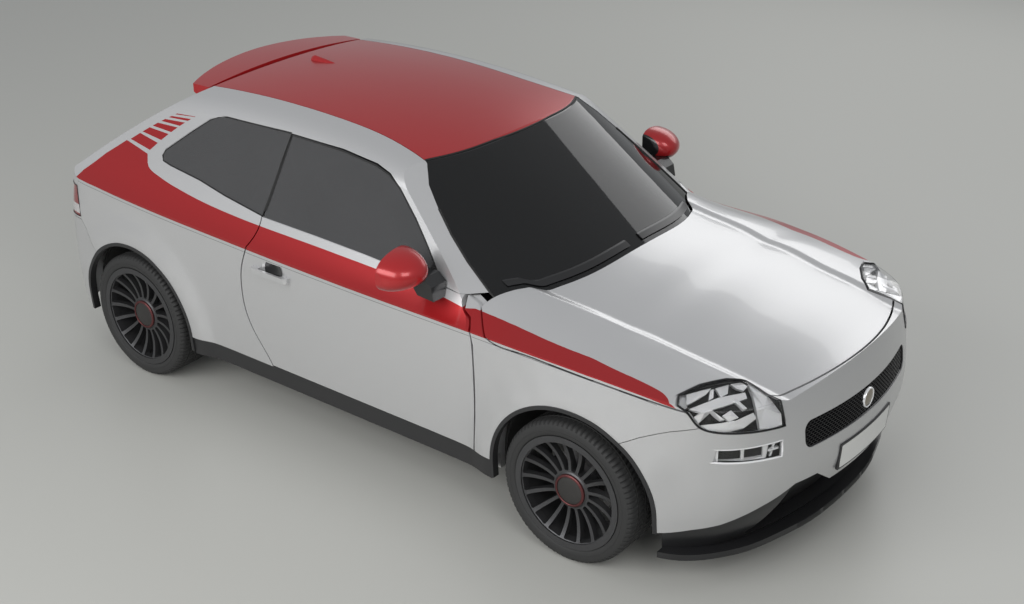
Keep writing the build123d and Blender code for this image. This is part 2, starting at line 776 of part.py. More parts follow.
with BuildPart() as door_room:
    add(body_walls(DOOR_DEEP, False))
    add(upper_sides(DOOR_DEEP), mode=Mode.INTERSECT)

with BuildPart() as hand_hollow:
    with Locations((HANDLE_X + 9, -SIDE_Y - 135, HANDLE_Z + 15)):
        Sphere(150)
    add(box(-600, 0, -WIDE, -700, HANDLE_Z - 8, HANDLE_Z + 50), mode=Mode.INTERSECT)

with BuildPart() as handle:
    add(plan(GRIP, HANDLE_Z - 12, HANDLE_Z + 12))
    add(plan(PALM, HANDLE_Z - 20, HANDLE_Z + 20), mode=Mode.SUBTRACT)

with BuildPart() as door_right:
    add(outer)
    add(door_zone(0), mode=Mode.INTERSECT)
    add(door_room.part, mode=Mode.SUBTRACT)
    add(door_glass_right.part, mode=Mode.SUBTRACT)
    add(hand_hollow.part, mode=Mode.SUBTRACT)
    add(handle.part)

MIRROR_X, MIRROR_Z = 442.0, 1048.0    # middle of the mirror glass
MIRROR_FOOT = [(604, 928), (520, 934), (480, 985), (480, 1016), (556, 1016), (592, 984)]
CAP = [(826, 66, 46), (846, 112, 66), (890, 142, 78), (940, 134, 76), (985, 106, 64)]
CAP += [(1012, 68, 46), (1024, 32, 26)]    # distance out, then half length and half height there

with BuildPart() as mirror_clear:
    add(upper_sides(-8))
    add(box(300, 800, -WIDE, -300, 952, 1100), mode=Mode.INTERSECT)

with BuildPart() as mirror_foot:
    add(profile(MIRROR_FOOT, -872, -780))
    add(outer, mode=Mode.SUBTRACT)
    add(mirror_clear.part, mode=Mode.SUBTRACT)

with BuildPart() as mirror_right:
    for out, half_x, half_z in CAP:
        with BuildSketch(Plane.XZ.offset(out)):
            with Locations((MIRROR_X, MIRROR_Z - 0.08 * (out - 890))):
                Ellipse(half_x, half_z)
    loft()
    add(box(200, MIRROR_X, -WIDE - 100, -700, 800, 1200), mode=Mode.SUBTRACT)
    add(mirror_foot.part)

# ---------------------------------------------------------------- floor, bulkhead and wheel housings
BOOT_Z, SEAT_STEP_X = 400.0, -700.0

with BuildPart() as under_scuttle:
    add(lower_top(62))
    add(box(BULKHEAD_X, 1100, -WIDE, WIDE, 0, 1000), mode=Mode.INTERSECT)

with BuildPart() as bulkhead:
    add(box(BULKHEAD_X - 20, BULKHEAD_X, -ROCKER_IN, ROCKER_IN, FLOOR_Z, 1000))
    add(box(BULKHEAD_X - 20, 1030, -660, 660, 850, 1000))
    add(lower_top(48), mode=Mode.INTERSECT)
    add(under_scuttle.part, mode=Mode.SUBTRACT)

with BuildPart() as rear_housing:
    add(arch_bore(TRIM_R + 12, -HALF_BASE, 620, 780))
    add(arch_bore(TRIM_R, -HALF_BASE, REAR_ROOM, 800), mode=Mode.SUBTRACT)
    add(box(-1700, -800, -WIDE, -500, 390, 800), mode=Mode.INTERSECT)

with BuildPart() as front_housing:
    add(arch_bore(TRIM_R + 12, HALF_BASE, STEER_ROOM - 12, 760))
    add(arch_bore(TRIM_R, HALF_BASE, STEER_ROOM, 800), mode=Mode.SUBTRACT)
    add(arch_bore(190, HALF_BASE, 440, 500), mode=Mode.SUBTRACT)
    add(box(BULKHEAD_X - 2, 1700, -WIDE, -440, 240, 800), mode=Mode.INTERSECT)
    add(box(700, BULKHEAD_X, -WIDE, -ROCKER_IN, 0, 900), mode=Mode.SUBTRACT)

with BuildPart() as floor_pan:
    add(bulkhead.part)
    add(box(SEAT_STEP_X, BULKHEAD_X, -ROCKER_IN, ROCKER_IN, FLOOR_Z, FLOOR_Z + FLOOR_THICK))
    add(box(SEAT_STEP_X - 16, SEAT_STEP_X, -ROCKER_IN, ROCKER_IN, FLOOR_Z, BOOT_Z + 16))
    add(box(-1690, SEAT_STEP_X, -620, 620, BOOT_Z, BOOT_Z + 16))
    add(box(-866, SEAT_STEP_X, -ROCKER_IN, ROCKER_IN, BOOT_Z, BOOT_Z + 16))
    add(box(-1706, -1690, -580, 580, BOOT_Z - 100, 690))
    add(both(rear_housing.part))
    add(both(front_housing.part))

with BuildPart() as front_subframe:
    add(box(1120, 1330, -420, 420, 165, 210))
    add(box(1330, 1640, -380, -320, 165, 210))
    add(box(1330, 1640, 320, 380, 165, 210))
    add(box(800, 1120, -380, -320, 170, FLOOR_Z))
    add(box(800, 1120, 320, 380, 170, FLOOR_Z))
    add(box(1600, 1660, -420, 420, 165, 210))
    add(box(1610, 1640, -40, 40, 200, 690))
    add(box(1580, 1640, -700, 700, 640, 700))

with BuildPart() as engine_block:
    add(box(1190, 1540, -300, 300, 210, 720))
    fillet(edges().filter_by(Axis.Z), 20)
    add(box(1220, 1480, 290, 430, 240, 520))

with BuildPart() as fuel_tank:
    add(box(-640, -180, -480, 180, 155, FLOOR_Z))
    fillet(edges().filter_by(Axis.Z), 60)

with BuildPart() as exhaust:
    with BuildSketch(Plane.YZ.offset(-1500)):
        with Locations((260, 188)):
            Circle(22)
    extrude(amount=2600)
    with BuildSketch(Plane.XZ.offset(-380)):
        with Locations((-1560, 235)):
            RectangleRounded(170, 110, 50)
    extrude(amount=560)

# ---------------------------------------------------------------- suspension
KING_Y = 720.0                # steering axis, which stands over the middle of each front hub
BALL_Z = 157.5                # height of the ball joint below it
STUB_R = 20.0

with BuildPart() as front_arms:
    add(plan([(1150, -400), (1230, -KING_Y), (1270, -KING_Y), (1340, -400)], 150, 165))
    with Locations((HALF_BASE, -KING_Y, BALL_Z)):
        Cylinder(24, 15)
        Cylinder(8.05, 40, mode=Mode.SUBTRACT)
    with Locations((HALF_BASE, -590, 420)):
        Cylinder(22, 510)
    with Locations((HALF_BASE, -590, 642)):
        Cylinder(50, 56)
    mirror(about=Plane.XZ)

with BuildPart() as knuckle_right:
    with BuildSketch(Plane.XZ.offset(676)):
        with Locations((HALF_BASE, HUB_Z)):
            Circle(62)
        with Locations((HALF_BASE, HUB_Z - 62)):
            Rectangle(60, 124)
    extrude(amount=26)
    add(box(HALF_BASE - 30, HALF_BASE + 30, -KING_Y - 20, -676, 172, 186))
    with Locations((HALF_BASE, -KING_Y, 162)):
        Cylinder(8, 24)
    with BuildSketch(Plane.XZ.offset(690)):
        with Locations((HALF_BASE, HUB_Z)):
            Circle(STUB_R)
    extrude(amount=100)

TRAILING_ARM = [(-880, 240), (-880, 300), (-1200, 350), (-1300, 345), (-1300, 262), (-1200, 258)]

with BuildPart() as rear_axle:
    with BuildSketch(Plane.XZ.offset(-560)):
        with Locations((-1060, 290)):
            Circle(38)
    extrude(amount=1120)
    add(profile(TRAILING_ARM, -612, -552))
    add(profile(TRAILING_ARM, 552, 612))
    for side in (-1, 1):
        with Locations((-1180, side * 500, 345)):
            Cylinder(48, 110)
        with Locations((-1180, side * 530, 300)):
            Box(110, 120, 20)
        with BuildSketch(Plane.XZ.offset(612 if side < 0 else -790)):
            with Locations((-HALF_BASE, HUB_Z)):
                Circle(STUB_R)
        extrude(amount=178)

# ---------------------------------------------------------------- wheels, made round the Y axis
WHEEL_Y = 768.5               # middle of the tread
RIM_HALF = 97.5               # half the width between the flanges
RIM_R, SEAT_R, FLANGE_R = 216.0, 224.0, 242.0
TYRE_R, TYRE_HALF = HUB_Z, 107.5
SPOKES = 17

with BuildSketch() as spoke_window:
    with BuildLine():
        Polyline((82, 9), (212, 31), (212, -31), (82, -9), close=True)
    make_face()
    fillet(spoke_window.vertices(), 6)

with BuildPart() as wheel:
    with BuildSketch():
        with BuildLine():
            Polyline(
                (RIM_R, -104), (FLANGE_R, -104), (FLANGE_R, -RIM_HALF), (SEAT_R, -RIM_HALF),
                (SEAT_R, RIM_HALF), (FLANGE_R - 4, RIM_HALF), (FLANGE_R - 4, 103), (RIM_R, 103), close=True,
            )
        make_face()
        with BuildLine():
            ThreePointArc((76, -66), (158, -71), (RIM_R, -97))
            Polyline(
                (RIM_R, -97), (RIM_R, -62), (74, -20), (70, 46), (STUB_R + 0.05, 46), (STUB_R + 0.05, -50),
                (0, -50), (0, -70), (70, -70), (76, -66),
            )
        make_face()
    revolve(axis=Axis.Y)
    with BuildSketch(Plane.XZ.offset(-60)):
        with PolarLocations(0, SPOKES):
            add(spoke_window.sketch)
    extrude(amount=200, mode=Mode.SUBTRACT)

with BuildPart() as tyre:
    with BuildSketch():
        with BuildLine():
            Line((SEAT_R, -RIM_HALF), (FLANGE_R, -RIM_HALF))
            ThreePointArc((FLANGE_R, -RIM_HALF), (270, -TYRE_HALF), (297, -97))
            ThreePointArc((297, -97), (302.3, -89), (TYRE_R, -80))
            Line((TYRE_R, -80), (TYRE_R, 80))
            ThreePointArc((TYRE_R, 80), (302.3, 89), (297, 97))
            ThreePointArc((297, 97), (270, TYRE_HALF), (FLANGE_R, RIM_HALF))
            Line((FLANGE_R, RIM_HALF), (SEAT_R, RIM_HALF))
            Line((SEAT_R, RIM_HALF), (SEAT_R, -RIM_HALF))
        make_face()
    revolve(axis=Axis.Y)

# ---------------------------------------------------------------- cabin
SEAT_Y = 370.0                # middle of a front seat

CUSHION = [(-210, 330), (320, 370), (345, 440), (300, 500), (-100, 455), (-210, 470)]
BACKREST = [(-210, 400), (-100, 440), (-290, 1000), (-330, 1030), (-390, 1010), (-400, 960)]
HEADREST = [(-345, 1000), (-330, 1150), (-370, 1200), (-430, 1190), (-440, 1120), (-400, 1000)]
BENCH = [(-700, 235), (-440, 235), (-400, 470), (-430, 530), (-850, 490), (-850, 416), (-700, 416)]
BENCH_BACK = [(-850, 416), (-830, 520), (-940, 990), (-990, 1000), (-1010, 960), (-920, 416)]
BOARD = [(848, 600), (620, 620), (560, 760), (580, 880), (640, 925), (848, 930)]

with BuildPart() as front_seats:
    add(profile(CUSHION, -SEAT_Y - 250, -SEAT_Y + 250))
    add(profile(BACKREST, -SEAT_Y - 240, -SEAT_Y + 240))
    add(profile(HEADREST, -SEAT_Y - 130, -SEAT_Y + 130))
    add(box(-180, 260, -SEAT_Y - 200, -SEAT_Y + 200, FLOOR_Z + FLOOR_THICK, 360))
    mirror(about=Plane.XZ)

with BuildPart() as rear_seat:
    add(profile(BENCH, -680, 680))
    add(profile(BENCH_BACK, -600, 600))

with BuildPart() as dashboard:
    add(profile(BOARD, -670, 670))
    add(box(300, 640, -100, 100, FLOOR_Z + FLOOR_THICK, 420))
    add(box(560, 848, -100, 100, FLOOR_Z + FLOOR_THICK, 620))
    add(cabin_front(18), mode=Mode.INTERSECT)
    add(lower_top(70), mode=Mode.INTERSECT)

WHEEL_X, WHEEL_Z, COLUMN_TILT = 405.0, 870.0, 25.0
facing = (-cos(radians(COLUMN_TILT)), 0, sin(radians(COLUMN_TILT)))
column = Plane((WHEEL_X, SEAT_Y, WHEEL_Z), x_dir=(0, 1, 0), z_dir=facing)

with BuildPart() as steering_wheel:
    with BuildSketch(column):
        Circle(185)
        Circle(157, mode=Mode.SUBTRACT)
        Circle(58)
        Rectangle(340, 34)
        with Locations((0, -85)):
            Rectangle(34, 160)
    extrude(amount=14, both=True)
    with BuildSketch(column.offset(-200)):
        Circle(26)
    extrude(amount=200)
    add(dashboard.part, mode=Mode.SUBTRACT)

with BuildPart() as wipers:
    add(cabin_front(-11))
    add(cabin_front(-3), mode=Mode.SUBTRACT)
    add(lower_top(-22), mode=Mode.INTERSECT)
    add(lower_top(-10), mode=Mode.SUBTRACT)
    add(box(600, 1100, -640, -60, 900, 1100) + box(600, 1100, 30, 520, 900, 1100), mode=Mode.INTERSECT)

# ---------------------------------------------------------------- names and files
CENTRE_X = (NOSE_X + TAIL_X) / 2      # the body's middle, which becomes x = 0


def placed(piece, name):
    """The finished piece in the car's own frame"""
    whole = piece.moved(Location((-CENTRE_X, 0, 0)))
    whole.label = name
    return whole


right_wheel = wheel.part.moved(Location((0, -WHEEL_Y, HUB_Z)))
right_tyre = tyre.part.moved(Location((0, -WHEEL_Y, HUB_Z)))

pieces = {
    "bonnet": bonnet.part, "front_wings": front_wings.part, "front_bumper": front_bumper.part,
    "grille": grille.part, "running_lamps": running_lamps.part, "headlights": headlights.part,
    "front_splitter": front_splitter.part, "rear_bumper": rear_bumper.part, "windscreen": windscreen.part,
    "roof_panel": roof_panel.part, "roof_antenna": roof_antenna.part, "tailgate": tailgate.part,
    "rear_window": rear_window.part, "roof_spoiler": roof_spoiler.part, "tail_lamps": tail_lamps.part,
    "side_frame_right": side_frame_right.part, "quarter_glass": quarter_glass.part,
    "side_sills": side_sills.part, "arch_trims": arch_trims.part, "door_right": door_right.part,
    "door_glass_right": door_glass_right.part, "mirror_right": mirror_right.part,
    "floor_pan": floor_pan.part, "front_subframe": front_subframe.part, "engine_block": engine_block.part,
    "fuel_tank": fuel_tank.part, "exhaust": exhaust.part, "front_arms": front_arms.part,
    "knuckle_right": knuckle_right.part, "rear_axle": rear_axle.part, "front_seats": front_seats.part,
    "rear_seat": rear_seat.part, "dashboard": dashboard.part, "steering_wheel": steering_wheel.part,
    "wipers": wipers.part,
}
for name in ("side_frame", "door", "door_glass", "mirror", "knuckle"):
    pieces[f"{name}_left"] = pieces[f"{name}_right"].mirror(Plane.XZ)
for end, axle_x in (("front", HALF_BASE), ("rear", -HALF_BASE)):
    for kind, piece in (("wheel", right_wheel), ("tyre", right_tyre)):
        pieces[f"{kind}_{end}_right"] = piece.moved(Location((axle_x, 0, 0)))
        pieces[f"{kind}_{end}_left"] = pieces[f"{kind}_{end}_right"].mirror(Plane.XZ)

os.makedirs("parts", exist_ok=True)
for name, piece in pieces.items():
    export_step(placed(piece, name), f"parts/{name}.step", write_pcurves=False)
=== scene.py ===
import math

import bmesh
import bpy
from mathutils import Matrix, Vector
from mathutils.bvhtree import BVHTree
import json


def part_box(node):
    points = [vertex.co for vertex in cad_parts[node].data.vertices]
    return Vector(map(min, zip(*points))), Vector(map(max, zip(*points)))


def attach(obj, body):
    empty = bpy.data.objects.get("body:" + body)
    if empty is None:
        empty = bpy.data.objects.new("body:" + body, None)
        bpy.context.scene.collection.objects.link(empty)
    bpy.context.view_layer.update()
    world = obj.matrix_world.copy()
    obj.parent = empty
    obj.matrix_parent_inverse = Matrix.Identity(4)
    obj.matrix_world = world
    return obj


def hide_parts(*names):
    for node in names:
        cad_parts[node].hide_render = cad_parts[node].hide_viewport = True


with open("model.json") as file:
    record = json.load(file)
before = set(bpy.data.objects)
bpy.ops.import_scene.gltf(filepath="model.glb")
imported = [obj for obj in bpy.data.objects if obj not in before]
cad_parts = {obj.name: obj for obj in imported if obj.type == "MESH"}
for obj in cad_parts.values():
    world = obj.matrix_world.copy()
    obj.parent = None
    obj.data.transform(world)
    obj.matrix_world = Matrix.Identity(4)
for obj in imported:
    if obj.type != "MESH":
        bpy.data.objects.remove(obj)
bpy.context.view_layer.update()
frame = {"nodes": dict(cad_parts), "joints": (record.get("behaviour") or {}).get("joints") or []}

NODES = frame["nodes"]
JOINTS = {j["name"]: j for j in frame["joints"]}
FRONT_AXLE = Vector(JOINTS["wheel_front_right_spin"]["pos_m"])
REAR_AXLE = Vector(JOINTS["wheel_rear_right_spin"]["pos_m"])
MID_X = (FRONT_AXLE.x + REAR_AXLE.x) / 2      # midway between the axles; the paint's outlines start here
SIDES = {"right": -1, "left": 1}


# ---------------- node helpers
class Shader:
    """A material's node tree, with its Principled shader and short calls for the usual nodes"""

    def __init__(self, name, color=(0.5, 0.5, 0.5), rough=0.5, metal=0.0, **sockets):
        self.material = bpy.data.materials.new(name)
        self.material.use_nodes = True
        self.tree = self.material.node_tree
        self.bsdf = self.tree.nodes["Principled BSDF"]
        self.set(Base_Color=(*color, 1), Roughness=rough, Metallic=metal, **sockets)

    def set(self, **sockets):
        for name, value in sockets.items():
            self.bsdf.inputs[name.replace("_", " ")].default_value = value

    def node(self, kind, **values):
        made = self.tree.nodes.new(kind)
        for name, value in values.items():
            setattr(made, name, value)
        return made

    def link(self, output, target):
        self.tree.links.new(output, target)

    def coords(self):
        return self.node("ShaderNodeTexCoord").outputs["Object"]

    def axes(self, vector=None):
        split = self.node("ShaderNodeSeparateXYZ")
        self.link(vector or self.coords(), split.inputs[0])
        return split.outputs

    def normal_axes(self):
        return self.axes(self.node("ShaderNodeTexCoord").outputs["Normal"])

    def math(self, operation, a, b=None, clamp=False):
        made = self.node("ShaderNodeMath", operation=operation, use_clamp=clamp)
        for socket, value in zip(made.inputs, (a, b)):
            if isinstance(value, (int, float)):
                socket.default_value = value
            elif value is not None:
                self.link(value, socket)
        return made.outputs[0]

    def above(self, a, b):
        return self.math("GREATER_THAN", a, b)

    def all(self, first, *rest):
        for other in rest:
            first = self.math("MULTIPLY", first, other)
        return first

    def any(self, first, *rest):
        for other in rest:
            first = self.math("MAXIMUM", first, other)
        return first

    def noise(self, scale, detail=2.0, rough=0.5, vector=None):
        made = self.node("ShaderNodeTexNoise")
        made.inputs["Scale"].default_value = scale
        made.inputs["Detail"].default_value = detail
        made.inputs["Roughness"].default_value = rough
        self.link(vector or self.coords(), made.inputs["Vector"])
        return made.outputs["Fac"]

    def wave(self, scale, axis="X", distortion=0.0):
        made = self.node("ShaderNodeTexWave", bands_direction=axis)
        made.inputs["Scale"].default_value = scale
        made.inputs["Distortion"].default_value = distortion
        self.link(self.coords(), made.inputs["Vector"])
        return made.outputs["Fac"]

    def ramp(self, value, stops):
        made = self.node("ShaderNodeValToRGB")
        elements = made.color_ramp.elements
        while len(elements) < len(stops):
            elements.new(0.5)
        for element, (place, color) in zip(elements, stops):
            element.position = place
            element.color = (*color, 1)
        self.link(value, made.inputs[0])
        return made.outputs[0]

    def mix(self, factor, a, b, blend="MIX"):
        made = self.node("ShaderNodeMix", data_type="RGBA", blend_type=blend)
        if isinstance(factor, (int, float)):
            made.inputs["Factor"].default_value = factor
        else:
            self.link(factor, made.inputs["Factor"])
        for name, value in (("A", a), ("B", b)):
            socket = [s for s in made.inputs if s.name == name and s.type == "RGBA"][0]
            if isinstance(value, tuple):
                socket.default_value = (*value, 1)
            else:
                self.link(value, socket)
        return [s for s in made.outputs if s.type == "RGBA"][0]

    def bump(self, height, strength=0.2, distance=0.001):
        made = self.node("ShaderNodeBump")
        made.inputs["Strength"].default_value = strength
        made.inputs["Distance"].default_value = distance
        self.link(height, made.inputs["Height"])
        self.link(made.outputs[0], self.bsdf.inputs["Normal"])

    def color(self, output):
        self.link(output, self.bsdf.inputs["Base Color"])

    def curve(self, x, points, low, high, sharp_to=-9.0):
        """z as a smooth function of x through a few points, in metres, with corners behind sharp_to"""
        made = self.node("ShaderNodeFloatCurve")
        line = made.mapping.curves[0]
        first, last = points[0][0], points[-1][0]
        placed = [((px - first) / (last - first), (pz - low) / (high - low)) for px, pz in points]
        while len(line.points) < len(placed):
            line.points.new(0.5, 0.5)
        for point, place, (px, pz) in zip(line.points, placed, points):
            point.location = place
            point.handle_type = "VECTOR" if px < sharp_to else "AUTO_CLAMPED"
        made.mapping.update()
        share = self.math("DIVIDE", self.math("SUBTRACT", x, first), last - first, clamp=True)
        self.link(share, made.inputs["Value"])
        return self.math("ADD", self.math("MULTIPLY", made.outputs[0], high - low), low)


# ---------------- paint
SILVER = (0.60, 0.60, 0.605)
RED = (0.42, 0.012, 0.015)
INNER = (0.035, 0.035, 0.037)

# (x, z) along the stripe's lower and upper edge
STRIPE_LOW = [
    (-1.68, 0.917), (-1.20, 0.884), (-0.60, 0.861), (0.10, 0.846), (1.00, 0.843), (1.28, 0.834),
    (1.50, 0.815), (1.68, 0.786),
]
STRIPE_TOP = [
    (-1.68, 0.85), (-1.632, 0.912), (-1.62, 0.94), (-1.51, 1.034), (-1.39, 1.115), (-1.23, 1.085),
    (-1.22, 1.05), (-1.19, 1.027), (-1.12, 1.01), (-1.00, 0.99), (-0.70, 0.962), (0.00, 0.945), (0.30, 0.938),
    (0.56, 0.926), (0.72, 0.91), (0.89, 0.893), (1.20, 0.87), (1.54, 0.829), (1.63, 0.811), (1.68, 0.78),
]
STRIPE_FLOOR, STRIPE_ROOF = 0.7, 1.2          # heights that the two edges stay between
STRIPE_REAR, STRIPE_CORNER = -1.632, -1.225   # the stripe's end, and where its sharp corners end
STRIPE_IN, BARS_IN = 0.69, 0.60               # the marks keep to the sides, this far from the middle
CREASE_REAR, CREASE_FRONT = -1.62, 1.60
CREASE_TOP, CREASE_FOOT = 0.0130, 0.0155      # painted shade line along the crease, this far below the stripe's lower edge
# Painted shade: a grey line along the crease and a dark grey in the door handle's recess
CREASE_SHADE_GREY, HOLLOW_SHADE_GREY = (0.22, 0.22, 0.225), (0.06, 0.06, 0.062)
SHADED_HOLLOW = ((-0.430, -0.215), (0.80, 0.857), (0.70, 0.832))   # x, distance out and z of the handle's recess, painted dark grey as shade

# The bars cross the pillar. Its rear and front edges are shallow arcs, each given as its foot, how steeply
# it rises there and how fast it bows over. The steps from bar to bar shrink upwards along both.
BAR_COUNT = 6
REAR_EDGE, FRONT_EDGE = (-1.367, 1.124, 0.69, 0.34), (-1.224, 1.104, 0.96, 0.77)
REAR_STEP, FRONT_STEP = (0.069, 0.86), (0.060, 0.90)


def pillar_bars():
    """Four corners of each slanted bar, as (x, z)"""
    def spot(edge, along):
        x, z, rise, bow = edge
        return x + along, z + rise * along - bow * along * along

    bars = []
    for i in range(BAR_COUNT):
        rear, front = (step * (1 - shrink ** i) / (1 - shrink) for step, shrink in (REAR_STEP, FRONT_STEP))
        rear_wide = REAR_STEP[0] * REAR_STEP[1] ** i * (0.80 - 0.09 * i)
        front_wide = 0.042 - 0.0015 * i * i
        bars.append([
            spot(REAR_EDGE, rear), spot(REAR_EDGE, rear + rear_wide),
            spot(FRONT_EDGE, front + front_wide), spot(FRONT_EDGE, front),
        ])
    return bars


def paint_layers(shader, color, coat=0.5):
    """Fine metallic flake, a little orange peel and a clear coat"""
    tint = shader.ramp(shader.noise(2600, 1.0), [(0.3, (0.88, 0.88, 0.88)), (0.7, (1.0, 1.0, 1.0))])
    shader.color(shader.mix(1.0, color, tint, "MULTIPLY"))
    shader.bump(shader.noise(260, 2.0), strength=0.012, distance=0.0006)
    shader.set(Coat_Weight=coat, Coat_Roughness=0.05)


def inside_out(shader):
    """1 on faces that look towards the car's middle plane, or down"""
    y, normal = shader.axes()["Y"], shader.normal_axes()
    facing = shader.math("MULTIPLY", normal["Y"], shader.math("SIGN", y))
    return shader.any(shader.above(-0.35, facing), shader.above(-0.6, normal["Z"]))


def silver_paint(name, inner=False):
    """Silver metallic paint; with inner, faces that look forwards are dark trim"""
    shader = Shader(name, SILVER, rough=0.30, metal=0.62)
    color = SILVER
    if inner:
        color = shader.mix(shader.above(shader.normal_axes()["X"], 0.2), SILVER, INNER)
    paint_layers(shader, color)
    return shader.material


def red_paint(name="red_paint", under=None):
    """Red metallic paint; under is the colour of faces that look down"""
    shader = Shader(name, RED, rough=0.30, metal=0.30)
    color = RED
    if under:
        down = shader.math("LESS_THAN", shader.normal_axes()["Z"], -0.35)
        color = shader.mix(down, RED, under)
    paint_layers(shader, color, 0.3)
    return shader.material


def within(shader, value, low, high):
    return shader.all(shader.above(value, low), shader.above(high, value))


def inside_corners(shader, x, z, corners):
    """1 inside a convex outline"""
    middle = (sum(p[0] for p in corners) / len(corners), sum(p[1] for p in corners) / len(corners))
    edges = []
    for (ax, az), (bx, bz) in zip(corners, corners[1:] + corners[:1]):
        nx, nz = az - bz, bx - ax
        offset = ax * nx + az * nz
        if middle[0] * nx + middle[1] * nz < offset:
            nx, nz, offset = -nx, -nz, -offset
        across = shader.math("ADD", shader.math("MULTIPLY", x, nx), shader.math("MULTIPLY", z, nz))
        edges.append(shader.above(across, offset))
    return shader.all(*edges)


def striped_paint():
    """Silver paint with the red stripe along the shoulder and the slanted bars behind the side window, and
    painted shade along the crease and in the handle's recess
    """
    shader = Shader("striped_paint", SILVER, rough=0.30, metal=0.55)
    place = shader.axes()
    x, z = shader.math("SUBTRACT", place["X"], MID_X), place["Z"]
    out = shader.math("ABSOLUTE", place["Y"])
    on_side = shader.above(out, STRIPE_IN)
    low = shader.curve(x, STRIPE_LOW, STRIPE_FLOOR, STRIPE_ROOF)
    high = shader.curve(x, STRIPE_TOP, STRIPE_FLOOR, STRIPE_ROOF, sharp_to=STRIPE_CORNER)
    marks = [shader.all(within(shader, z, low, high), on_side, shader.above(x, STRIPE_REAR))]
    for corners in pillar_bars():
        marks.append(shader.all(inside_corners(shader, x, z, corners), shader.above(out, BARS_IN)))
    color = shader.mix(shader.any(*marks), SILVER, RED)
    # painted shade: a thin grey line along the crease under the stripe
    crease_shade = within(shader, shader.math("SUBTRACT", low, z), CREASE_TOP, CREASE_FOOT)
    crease_shade = shader.all(crease_shade, on_side, within(shader, x, CREASE_REAR, CREASE_FRONT))
    color = shader.mix(crease_shade, color, CREASE_SHADE_GREY)
    # painted shade: dark grey in the door handle's recess
    hollow_shade = shader.all(*[within(shader, value, *ends) for value, ends in zip((x, out, z), SHADED_HOLLOW)])
    color = shader.mix(hollow_shade, color, HOLLOW_SHADE_GREY)
    color = shader.mix(inside_out(shader), color, INNER)
    paint_layers(shader, color)
    return shader.material


def mirror_paint():
    """Red cap on a black foot"""
    shader = Shader("mirror_paint", RED, rough=0.28, metal=0.25)
    place = shader.axes()
    out = shader.math("ABSOLUTE", place["Y"])
    arm = shader.all(shader.above(0.885, out), shader.above(1.0175, place["Z"]))
    foot = shader.any(shader.above(0.833, out), arm)
    paint_layers(shader, shader.mix(foot, RED, (0.012, 0.012, 0.013)))
    return shader.material


# ---------------- other finishes
def glass(name, tint, passing, rough=0.03, fleck=0.0, ior=1.45):
    shader = Shader(name, tint, rough=rough, Transmission_Weight=passing, IOR=ior)
    shade = shader.ramp(shader.noise(3.0, 2.0), [(0.0, tuple(c * (1 - fleck) for c in tint)), (1.0, tint)])
    shader.color(shade)
    return shader.material


def plastic(name, color, rough, grain=900.0, strength=0.15, spread=0.15):
    shader = Shader(name, color, rough=rough)
    grained = shader.noise(grain, 3.0)
    shader.color(shader.ramp(grained, [(0.2, tuple(c * (1 - spread) for c in color)), (0.8, color)]))
    shader.bump(grained, strength=strength, distance=0.0004)
    return shader.material


def metal(name, color, rough, metallic=1.0, grain=400, strength=0.08):
    shader = Shader(name, color, rough=rough, metal=metallic)
    grained = shader.noise(grain, 4.0)
    shader.color(shader.ramp(grained, [(0.2, tuple(c * 0.85 for c in color)), (0.8, color)]))
    shader.bump(grained, strength=strength, distance=0.0004)
    return shader.material


def brake_iron():
    """Machined disc with a fine grain and an uneven tone"""
    shader = Shader("brake_iron", (0.30, 0.30, 0.31), rough=0.35, metal=1.0)
    shader.bump(shader.noise(900, 2.0), strength=0.1, distance=0.0003)
    shader.color(shader.ramp(shader.noise(60, 3.0), [(0.3, (0.20, 0.19, 0.18)), (0.7, (0.34, 0.34, 0.35))]))
    return shader.material


def tail_lens():
    """Dark red lens with a clear band low down, both finely ribbed"""
    shader = Shader("tail_lens", (0.30, 0.008, 0.010), rough=0.12, Transmission_Weight=0.25)
    z = shader.axes()["Z"]
    clear = shader.all(shader.above(z, 0.728), shader.above(0.775, z))
    shader.color(shader.mix(clear, (0.26, 0.006, 0.008), (0.62, 0.60, 0.60)))
    shader.bump(shader.wave(55, "Z"), strength=0.25, distance=0.0006)
    shader.set(Coat_Weight=0.8, Coat_Roughness=0.03)
    return shader.material


def seat_cloth():
    """Woven cloth with a fine two-way rib"""
    shader = Shader("seat_cloth", (0.035, 0.035, 0.04), rough=0.9, Sheen_Weight=0.3)
    weave = shader.math("MULTIPLY", shader.wave(260, "X"), shader.wave(260, "Z"))
    shader.color(shader.ramp(weave, [(0.0, (0.022, 0.022, 0.025)), (1.0, (0.060, 0.060, 0.066))]))
    shader.bump(shader.math("ADD", weave, shader.noise(700, 2.0)), strength=0.35, distance=0.0006)
    return shader.material


# Chrome with a near-white base colour and little metal: painted reflection, standing in for the bright light
# that chrome reflects
def chrome_with_painted_reflection():
    shader = Shader("chrome_with_painted_reflection", (0.93, 0.93, 0.94), rough=0.16, metal=0.35)
    shader.bump(shader.noise(90, 2.0), strength=0.04, distance=0.0006)
    return shader.material


